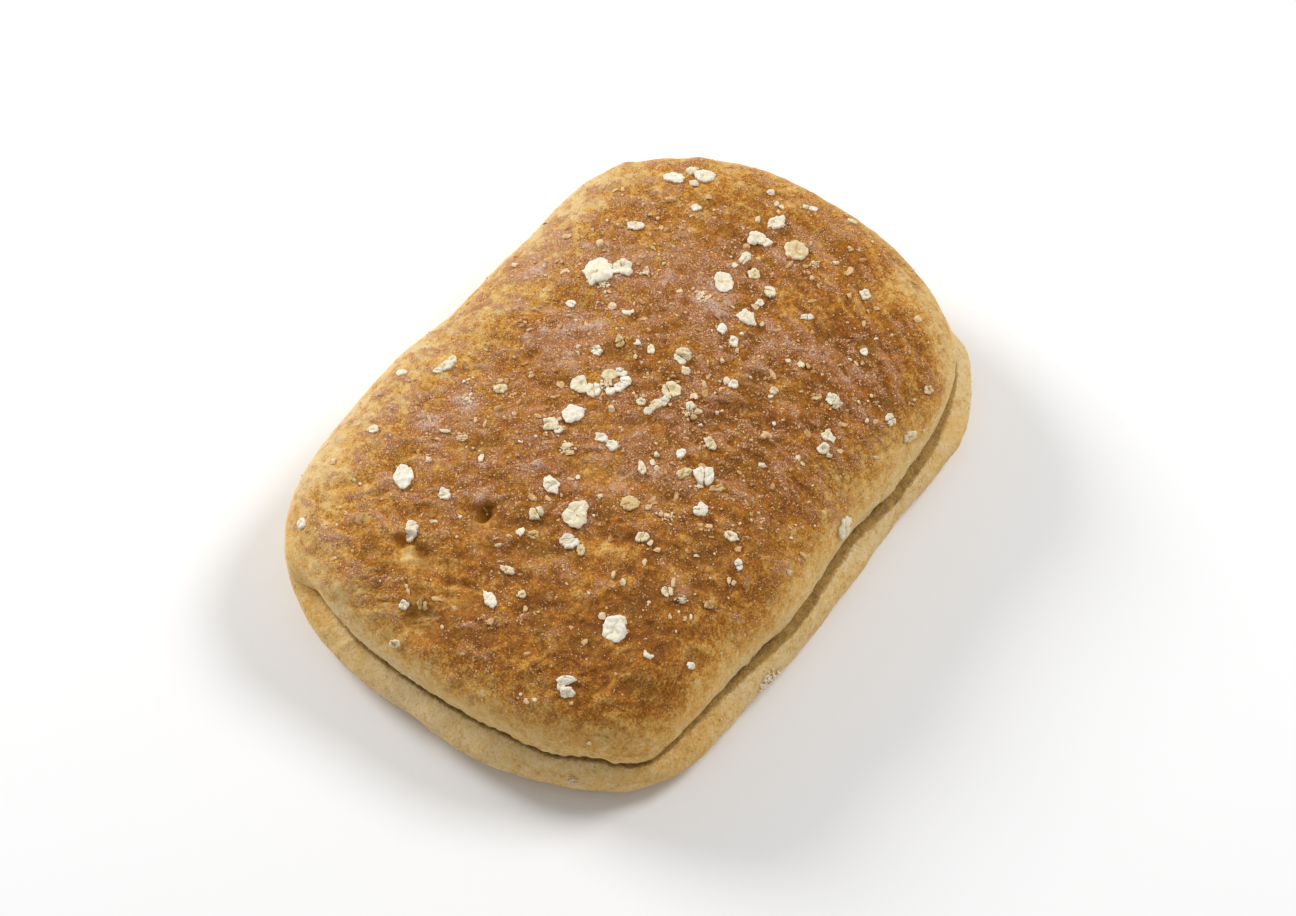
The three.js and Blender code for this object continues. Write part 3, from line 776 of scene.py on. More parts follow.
def crust_material():
    t = Tree("crust")
    brown_and_shade_at, flour_at = t.attribute("brown_and_shade"), t.attribute("flour")
    rough_at, slit_at = t.attribute("grainy"), t.attribute("slit")
    ridge_and_shade_at, pit_at = t.attribute("ridge_and_shade"), t.attribute("pit")
    broad = t.noise(0.10, 2, 0.5)
    patchy = t.noise(0.26, 4, 0.6, distortion=0.4)
    blotch = t.noise(0.70, 3, 0.6, distortion=0.2)
    small = t.noise(1.8, 3, 0.65)
    tiny = t.noise(4.4, 2, 0.6)
    grit, r1, r2, r3 = t.cells(3.3, t.warped(2.6, 0.26))
    lump, s1, s2, s3 = t.cells(1.6, t.warped(1.4, 0.9))
    olive = t.noise(0.20, 3, 0.55, distortion=0.6)
    centred = [t.math("SUBTRACT", n, 0.5) for n in (broad, patchy, blotch, small, tiny, ridge_and_shade_at)]
    # how far it is browned, with painted shade added in the valleys and on the hollows' shaded walls, 0 pale dough to 1
    # dark
    b = t.math("MULTIPLY_ADD", centred[0], 0.40, brown_and_shade_at)
    b = t.math("MULTIPLY_ADD", centred[1], t.math("MULTIPLY_ADD", rough_at, 0.50, 0.30), b)
    b = t.math("MULTIPLY_ADD", centred[2], t.math("MULTIPLY_ADD", rough_at, 0.45, 0.50), b)
    b = t.math("MULTIPLY_ADD", centred[3], t.math("MULTIPLY_ADD", rough_at, 0.35, 0.55), b)
    # painted shade: valleys and the shaded hollow walls come out browner
    b = t.math("MULTIPLY_ADD", centred[5], t.math("MULTIPLY", rough_at, -0.30), b)
    base = t.colours(
        b,
        [
            (0.00, linear(226, 196, 142)),
            (0.20, linear(224, 182, 110)),
            (0.40, linear(218, 161, 72)),
            (0.60, linear(192, 124, 34)),
            (0.80, linear(162, 96, 16)),
            (1.00, linear(124, 70, 8)),
        ],
    )
    yellow = t.step(olive, 0.48, 0.64, 0.0, 0.50)
    base = t.mix(yellow, base, t.mix(t.step(b, 0.2, 0.9), linear(222, 182, 106), linear(158, 108, 26)))
    # mauve bloom on the ridges, and flour in patches
    haze = t.math("MULTIPLY_ADD", centred[1], 1.5, flour_at)
    haze = t.math("MULTIPLY_ADD", centred[2], 0.9, haze)
    haze = t.math("MULTIPLY_ADD", centred[5], 0.70, haze)
    bloom = t.step(haze, 0.04, 0.50, 0.0, 0.82)
    base = t.mix(t.math("MULTIPLY", bloom, rough_at), base, linear(184, 122, 84))
    dusty = t.math("MULTIPLY_ADD", centred[3], 1.6, haze)
    dust = t.step(dusty, 0.55, 1.10, 0.0, 0.75)
    base = t.mix(dust, base, linear(222, 194, 182))
    # darker grit between the crumbs
    baked = t.step(b, 0.15, 0.60, 0.15, 1.0)
    dark = t.math("MULTIPLY", t.step(r3, 0.62, 0.95), t.math("MULTIPLY_ADD", rough_at, 0.50, 0.06))
    dark = t.math("MULTIPLY", dark, baked)
    base = t.mix(dark, base, linear(112, 64, 18))
    low = t.math("MULTIPLY", t.step(tiny, 0.48, 0.34), t.math("MULTIPLY_ADD", rough_at, 0.50, 0.12))
    low = t.math("MULTIPLY", low, baked)
    base = t.mix(low, base, linear(118, 70, 22))
    # light crumbs and painted glints standing in for the crust's tiny highlights: few in the smooth hollows, crowded on
    # the ridges
    field = t.math("MULTIPLY_ADD", centred[1], 1.7, t.math("MULTIPLY_ADD", ridge_and_shade_at, 0.45, -0.05))
    field = t.math("MULTIPLY_ADD", centred[2], 2.0, field)
    field = t.math("MULTIPLY_ADD", flour_at, 0.8, field)
    field = t.math("MULTIPLY", t.step(field, -0.05, 0.65, 0.08, 0.78), t.math("MULTIPLY_ADD", rough_at, 0.92, 0.08))
    field = t.math("MULTIPLY", field, t.step(pit_at, 0.2, 0.7, 1.0, 0.2))
    missing = t.math("SUBTRACT", 1.0, field)
    crumb_and_glint = t.step(r1, missing, t.math("ADD", missing, 0.06))
    size = t.math("MULTIPLY_ADD", r2, 0.46, 0.32)
    crumb_and_glint = t.math("MULTIPLY", crumb_and_glint, t.step(grit, size, t.math("MULTIPLY", size, 0.62)))
    base = t.mix(t.math("MULTIPLY", crumb_and_glint, t.math("MULTIPLY_ADD", r3, 0.52, 0.42)), base, t.mix(r3, linear(230, 168, 104), linear(250, 206, 150)))
    # larger light specks, likewise part crumb and part painted glint
    few = t.math("MULTIPLY_ADD", field, -0.16, 1.0)
    large = t.step(s1, few, t.math("ADD", few, 0.02))
    large = t.math("MULTIPLY", large, t.step(lump, 0.50, 0.32))
    base = t.mix(t.math("MULTIPLY", large, 0.85), base, t.mix(s2, linear(226, 166, 104), linear(248, 206, 152)))
    # the pale sides are mottled and dusted, with bran flecks
    sides = t.math("SUBTRACT", 1.0, rough_at)
    mottle = t.math("MULTIPLY_ADD", centred[3], 1.1, t.math("MULTIPLY_ADD", centred[2], 1.3, centred[1]))
    mottle = t.math("MULTIPLY_ADD", centred[4], 0.6, mottle)
    base = t.mix(t.math("MULTIPLY", sides, t.step(mottle, 0.02, 0.50, 0.0, 0.50)), base, linear(166, 126, 62))
    base = t.mix(t.math("MULTIPLY", sides, t.step(mottle, -0.04, -0.46, 0.0, 0.60)), base, linear(234, 210, 164))
    fleck = t.math("MULTIPLY", t.step(s3, 0.88, 0.95), t.math("MULTIPLY", sides, t.step(lump, 0.5, 0.2, 0.0, 0.34)))
    base = t.mix(fleck, base, linear(136, 98, 48))
    pale = t.math("MULTIPLY", t.step(s2, 0.90, 0.96), t.math("MULTIPLY", sides, t.step(lump, 0.5, 0.2, 0.0, 0.40)))
    base = t.mix(pale, base, linear(232, 208, 160))
    # deep hollows are smooth, and painted dark olive-brown: painted shade inside them
    base = t.mix(t.step(pit_at, 0.25, 0.85, 0.0, 0.85), base, linear(146, 100, 16))
    # torn crumb in the slit, painted darker brown for the shade there: painted shade, darkest deep inside the slit
    torn_and_shaded = t.math("MULTIPLY_ADD", centred[3], 1.2, slit_at)
    shaded_crumb = t.mix(t.step(t.math("MULTIPLY_ADD", centred[2], 0.6, small), 0.36, 0.62), linear(126, 88, 30), linear(186, 144, 72))
    deep_slit_shade = t.mix(t.step(slit_at, 0.66, 0.90), shaded_crumb, linear(84, 56, 16))
    base = t.mix(t.step(torn_and_shaded, 0.12, 0.60, 0.0, 0.94), base, deep_slit_shade)
    t.link(base, t.shader.inputs["Base Color"])
    rough = t.step(t.math("ADD", flour_at, small), 0.3, 1.4, 0.60, 0.9)
    t.link(rough, t.shader.inputs["Roughness"])
    t.shader.inputs["Specular IOR Level"].default_value = 0.24
    coarse = t.math("MULTIPLY", small, t.math("MULTIPLY_ADD", rough_at, 0.3, 0.7))
    n = t.bump(coarse, 0.00045, 0.9)
    crumbs = t.math("MULTIPLY_ADD", crumb_and_glint, 0.7, tiny)
    crumbs = t.math("MULTIPLY", crumbs, t.math("MULTIPLY_ADD", rough_at, 0.4, 0.6))
    n = t.bump(crumbs, 0.00020, 0.9, n)
    t.link(n, t.shader.inputs["Normal"])
    return t.material


def oat_material(name, white, middle, deep, shift=0.0):
    t = Tree(name)
    tone = t.attribute("tone")
    a = t.noise(1.2, 3, 0.6)
    b = t.noise(4.5, 2, 0.6)
    _, r1, _, _ = t.cells(3.2)
    v = t.math("MULTIPLY_ADD", t.math("SUBTRACT", a, 0.5), 0.7, tone)
    v = t.math("MULTIPLY_ADD", t.math("SUBTRACT", b, 0.5), 0.3, v)
    if shift:
        v = t.math("ADD", v, shift)
    base = t.colours(v, [(0.0, white), (0.35, middle), (0.75, deep[0]), (1.0, deep[1])])
    speck = t.math("MULTIPLY", t.step(r1, 0.86, 0.98), 0.22)
    base = t.mix(speck, base, linear(168, 132, 88))
    t.link(base, t.shader.inputs["Base Color"])
    t.link(t.step(b, 0.2, 0.8, 0.72, 0.92), t.shader.inputs["Roughness"])
    t.shader.inputs["Specular IOR Level"].default_value = 0.3
    n = t.bump(a, 0.00025, 0.7)
    n = t.bump(b, 0.00010, 0.8, n)
    t.link(n, t.shader.inputs["Normal"])
    return t.material


crust_look = crust_material()
flake_look = oat_material(
    "oat_flake", linear(238, 231, 214), linear(230, 217, 184), (linear(210, 180, 120), linear(172, 128, 74))
)
bit_look = oat_material(
    "oat_bit", linear(234, 222, 200), linear(226, 198, 154), (linear(206, 158, 102), linear(172, 118, 62))
)
flour_look = oat_material(
    "flour", linear(244, 216, 176), linear(236, 190, 134), (linear(220, 160, 98), linear(190, 130, 70))
)

bread = add_object(
    "roll_crust", verts, faces,
    {"brown_and_shade": brown_and_shade, "flour": flour, "grainy": rough_crust, "slit": in_slit, "ridge_and_shade": ridge_and_shade, "pit": pit}, crust_look,
)
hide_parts("bread_roll")

# ---------------------------------------------------------------- oat flakes and bits


class Pile:
    """Gathers small closed meshes into one."""

    def __init__(self):
        self.verts, self.faces, self.tones, self.count = [], [], [], 0

    def add(self, verts, faces, tones):
        self.verts.append(verts)
        self.faces.append(faces + self.count)
        self.tones.append(np.broadcast_to(tones, (len(verts),)))
        self.count += len(verts)

    def build(self, name, material, shade_smooth=True):
        obj = add_object(
            name, np.concatenate(self.verts), np.concatenate(self.faces),
            {"tone": np.concatenate(self.tones)}, material, shade_smooth,
        )
        return obj


def ball(subdivisions):
    """Unit sphere of triangles."""
    p = (1 + 5**0.5) / 2
    v = [(-1, p, 0), (1, p, 0), (-1, -p, 0), (1, -p, 0), (0, -1, p), (0, 1, p),
         (0, -1, -p), (0, 1, -p), (p, 0, -1), (p, 0, 1), (-p, 0, -1), (-p, 0, 1)]
    v = [np.array(q) / np.linalg.norm(q) for q in v]
    f = [(0, 11, 5), (0, 5, 1), (0, 1, 7), (0, 7, 10), (0, 10, 11), (1, 5, 9), (5, 11, 4),
         (11, 10, 2), (10, 7, 6), (7, 1, 8), (3, 9, 4), (3, 4, 2), (3, 2, 6), (3, 6, 8),
         (3, 8, 9), (4, 9, 5), (2, 4, 11), (6, 2, 10), (8, 6, 7), (9, 8, 1)]
    for _ in range(subdivisions):
        middle, after = {}, []

        def half(i, j):
            key = (min(i, j), max(i, j))
            if key not in middle:
                m = v[i] + v[j]
                v.append(m / np.linalg.norm(m))
                middle[key] = len(v) - 1
            return middle[key]

        for i, j, k in f:
            a, b, c = half(i, j), half(j, k), half(k, i)
            after += [(i, a, c), (j, b, a), (k, c, b), (a, b, c)]
        f = after
    return np.array(v), np.array(f)


BALLS = {n: ball(n) for n in (0, 1, 2)}
RINGS = [0.0, 0.18, 0.35, 0.51, 0.65, 0.77, 0.87, 0.94, 0.985, 1.0]


def plate(rng, edges, size, thick, tone, yellow, bowl, rise, ragged):
    """One plate of a flake: the space inside its edges (direction, distance), thinner at the rim."""
    psi, far = np.array([e[0] for e in edges]), np.array([e[1] for e in edges])
    tries = rng.uniform(-1, 1, (160, 2))
    slack = (far[None] - tries @ np.stack([np.cos(psi), np.sin(psi)])).min(1)
    centre = tries[int(np.argmax(slack))]
    if slack.max() < 0.13:
        return None
    count = 44 if slack.max() > 0.45 and max(size) > 1.4 else 28
    phi = np.arange(count) * 2 * math.pi / count
    room = far - centre @ np.stack([np.cos(psi), np.sin(psi)])
    facing = np.cos(phi[:, None] - psi[None])
    r = np.where(facing > 0.03, room[None] / np.maximum(facing, 0.03), 9.0).min(1)
    r = (np.roll(r, 1) + 2 * r + np.roll(r, -1)) / 4
    wave = sum(rng.normal() * np.cos(k * phi + rng.uniform(0, 6.3)) / k**0.45 for k in range(3, 15))
    r = r * (1 + ragged * wave) + 0.025 * rng.normal(size=count)
    seed = Noise(int(rng.integers(1, 10**6)))
    lean = rng.uniform(-0.06, 0.06, 2)
    creases = [(rng.uniform(0, math.pi), rng.uniform(-0.25, 0.25) * max(size), rng.uniform(0.2, 0.55)) for _ in range(3)]
    v, tones = [], []
    for q in RINGS[1:]:
        flat = centre + (q * r)[:, None] * np.stack([np.cos(phi), np.sin(phi)], 1)
        x, y = flat[:, 0] * size[0], flat[:, 1] * size[1]
        p = np.stack([x, y, np.zeros(count)], 1)
        out = np.hypot(flat[:, 0], flat[:, 1])
        body = thick * (1 - 0.5 * q**9) + rise + lean[0] * x + lean[1] * y
        body += thick * (0.36 * seed.layers(p / 0.85, 3, 0.65) + bowl * (out * out - 0.45))
        shade = 0.0
        for way, off, depth in creases:
            across = x * math.cos(way) + y * math.sin(way) - off + 0.16 * seed(p / 0.8 + 11)
            along = y * math.cos(way) - x * math.sin(way)
            cut = np.exp(-((across / 0.11) ** 2)) * ramp(along * (1 if depth > 0.35 else -1), -0.5, 0.3)
            body -= thick * depth * cut
            shade = shade + 0.5 * depth * cut
        v.append(np.stack([x, y, body], 1))
        tones.append(tone + yellow * (1 - out) + 0.16 * seed(p / 1.2 + 5) - 0.10 * q**6 + shade)
    top_z = float(np.mean(v[0][:, 2]))
    v = np.concatenate([np.array([[centre[0] * size[0], centre[1] * size[1], top_z]])] + v)
    tones = np.concatenate([[float(np.mean(tones[0]))]] + tones)
    rings = len(RINGS) - 1
    rim = v[1 + (rings - 1) * count :]
    middle = v[0, :2]
    low = np.column_stack([middle + (rim[:, :2] - middle) * 0.95, np.full(count, -0.15)])
    v = np.concatenate([v, low, [[middle[0], middle[1], -0.2]]])
    tones = np.concatenate([tones, np.full(count + 1, tone + 0.25)])
    j = np.arange(count)
    k = (j + 1) % count
    f = [np.stack([np.zeros(count, int), 1 + j, 1 + k], 1)]
    for i in range(rings):
        a, b = 1 + i * count + j, 1 + i * count + k
        f.append(np.stack([a, a + count, b], 1))
        f.append(np.stack([b, a + count, b + count], 1))
    last = 1 + rings * count
    f.append(np.stack([last + j, np.full(count, len(v) - 1), last + k], 1))
    return v, np.concatenate(f), tones


def flake(rng, wide, high, thick, tone, cuts=None, bowl=0.0, ragged=0.055, sides=None):
    """A rolled flake with straight broken edges, split by cracks into plates that lie close together."""
    big = max(wide, high)
    n = sides or int(rng.integers(5, 9))
    psi = (np.arange(n) + rng.uniform(-0.3, 0.3, n)) * 2 * math.pi / n + rng.uniform(0, 6.3)
    edges = [(float(a), float(d)) for a, d in zip(psi, rng.uniform(0.74, 1.0, n))]
    if cuts is None:
        cuts = 0 if big < 2.2 else int(rng.choice([0, 0, 0, 0, 1]))
    gap = 0.055 / (big / 2)
    parts = [edges]
    for _ in range(cuts):
        a, d = rng.uniform(0, math.pi), rng.uniform(-0.3, 0.3)
        parts = [p + [e] for p in parts for e in ((a, d - gap), (a + math.pi, -d - gap))]
    yellow = rng.uniform(0.0, 0.26)
    v, f, tones, count = [], [], [], 0
    for part in parts:
        made = plate(
            rng, part, (wide / 2, high / 2), thick * rng.uniform(0.85, 1.1),
            tone + 0.08 * rng.normal(), yellow, bowl, rng.uniform(-0.04, 0.08), ragged,
        )
        if made is None:
            continue
        v.append(made[0])
        f.append(made[1] + count)
        tones.append(made[2])
        count += len(made[0])
    if not v:
        return flake(rng, wide, high, thick, tone, 0, bowl, ragged, sides)
    v = np.concatenate(v)
    reach = np.abs(v[:, :2]).max(0)
    v[:, :2] *= (wide / 2, high / 2) / reach
    return v, np.concatenate(f), np.concatenate(tones)


def curl(rng, wide, high, thick, tone, start, sweep, width=0.42):
    """A piece of flake bent into a hook: a band along an arc, thicker and wider in its middle."""
    n, m = 22, 8
    s = np.linspace(0, 1, n)
    phi = (start + sweep * s) * RAD
    seed = Noise(int(rng.integers(1, 10**6)))
    body = np.sin(np.clip(s, 0.02, 0.98) * math.pi) ** 0.4
    lines = np.stack([s * 5, np.zeros(n), np.zeros(n)], 1)
    body = body * (1 + 0.25 * seed(lines))
    mid = 1 - width / 2
    ring = np.arange(m) * 2 * math.pi / m
    v = []
    for i in range(n):
        across = width / 2 * body[i] * np.cos(ring) * (1 + 0.5 * seed(lines[i : i + 1] * 1.9 + 23)[0])
        rr = mid * (1 + 0.16 * seed(lines[i : i + 1] + 9)[0]) + across
        x, y = rr * math.cos(phi[i]) * wide / 2, rr * math.sin(phi[i]) * high / 2
        h = thick * (0.35 + 0.65 * body[i]) * (0.5 + 0.5 * np.sin(ring)) - 0.1
        p = np.stack([x, y, h], 1)
        p[:, 2] += thick * 0.15 * seed(p / 0.8)
        v.append(p)
    v = np.concatenate(v)
    f = []
    for i in range(n - 1):
        for j in range(m):
            a, b = i * m + j, i * m + (j + 1) % m
            f += [(a, b, b + m), (a, b + m, a + m)]
    for j in range(1, m - 1):
        f.append((0, j + 1, j))
        f.append(((n - 1) * m, (n - 1) * m + j, (n - 1) * m + j + 1))
    f = np.array(f)
    # faces out, whichever way the arc turns
    a, b, c = v[f[:, 0]], v[f[:, 1]], v[f[:, 2]]
    if np.einsum("ij,ij->", a, np.cross(b, c)) < 0:
        f = f[:, ::-1]
    return v, f, tone + 0.15 * seed(v / 1.5)


def chip(rng, wide, high, thick, tone, detail=1, rough=0.22):
    """A small broken bit with flat faces and blunt corners."""
    v, f = BALLS[detail]
    v = v.copy()
    for _ in range(5):
        d = rng.normal(size=3)
        d /= np.linalg.norm(d)
        cut = rng.uniform(0.42, 0.8)
        over = np.maximum(v @ d - cut, 0)
        v = v - over[:, None] * d
    v = v * (1 + rough * rng.normal(size=(len(v), 1)) * 0.35)
    v = v / np.abs(v).max(0)
    return v * (wide / 2, high / 2, thick / 2) + (0, 0, thick * 0.28), f, tone + 0.08 * rng.normal(size=len(v))


def set_down(v, at, normal, turn=0.0, tilt=(0.0, 0.0), conform=0.0):
    """Lays a small mesh on the crust at a point, its x axis to the right of the view, turned on it."""
    right, up = view_axes(normal)
    c, s = math.cos(turn * RAD), math.sin(turn * RAD)
    ex, ey = right * c + up * s, -right * s + up * c
    lift = v[:, 2] + tilt[0] * v[:, 0] + tilt[1] * v[:, 1]
    if conform:
        for i in range(len(v)):
            start = at + ex * v[i, 0] + ey * v[i, 1] + normal * 3.0
            hit, _ = crust.cast(start, -normal, 6.0)
            if hit is not None:
                lift[i] += conform * ((hit - at) @ normal)
    return at + v[:, :1] * ex + v[:, 1:2] * ey + lift[:, None] * normal


def px_sizes(normal, wide_px, high_px):
    """Millimetres along the surface for a size in pixels of the view."""
    right, up = view_axes(normal)
    return wide_px / PX_PER_MM / abs(right @ CAM_RIGHT), high_px / PX_PER_MM / max(0.45, abs(up @ CAM_UP))


def softened(normal_at, at, reach=1.6):
    """The crust's normal averaged round a point, so that a flake lies on its lumps, not on one of them."""
    total = normal_at.copy()
    for k in range(6):
        d = np.array([math.cos(k * math.pi / 3), math.sin(k * math.pi / 3), 0.0]) * reach
        hit, n = crust.cast(at + d + normal_at * 4, -normal_at, 9.0)
        if hit is not None:
            total += n
    return total / np.linalg.norm(total)


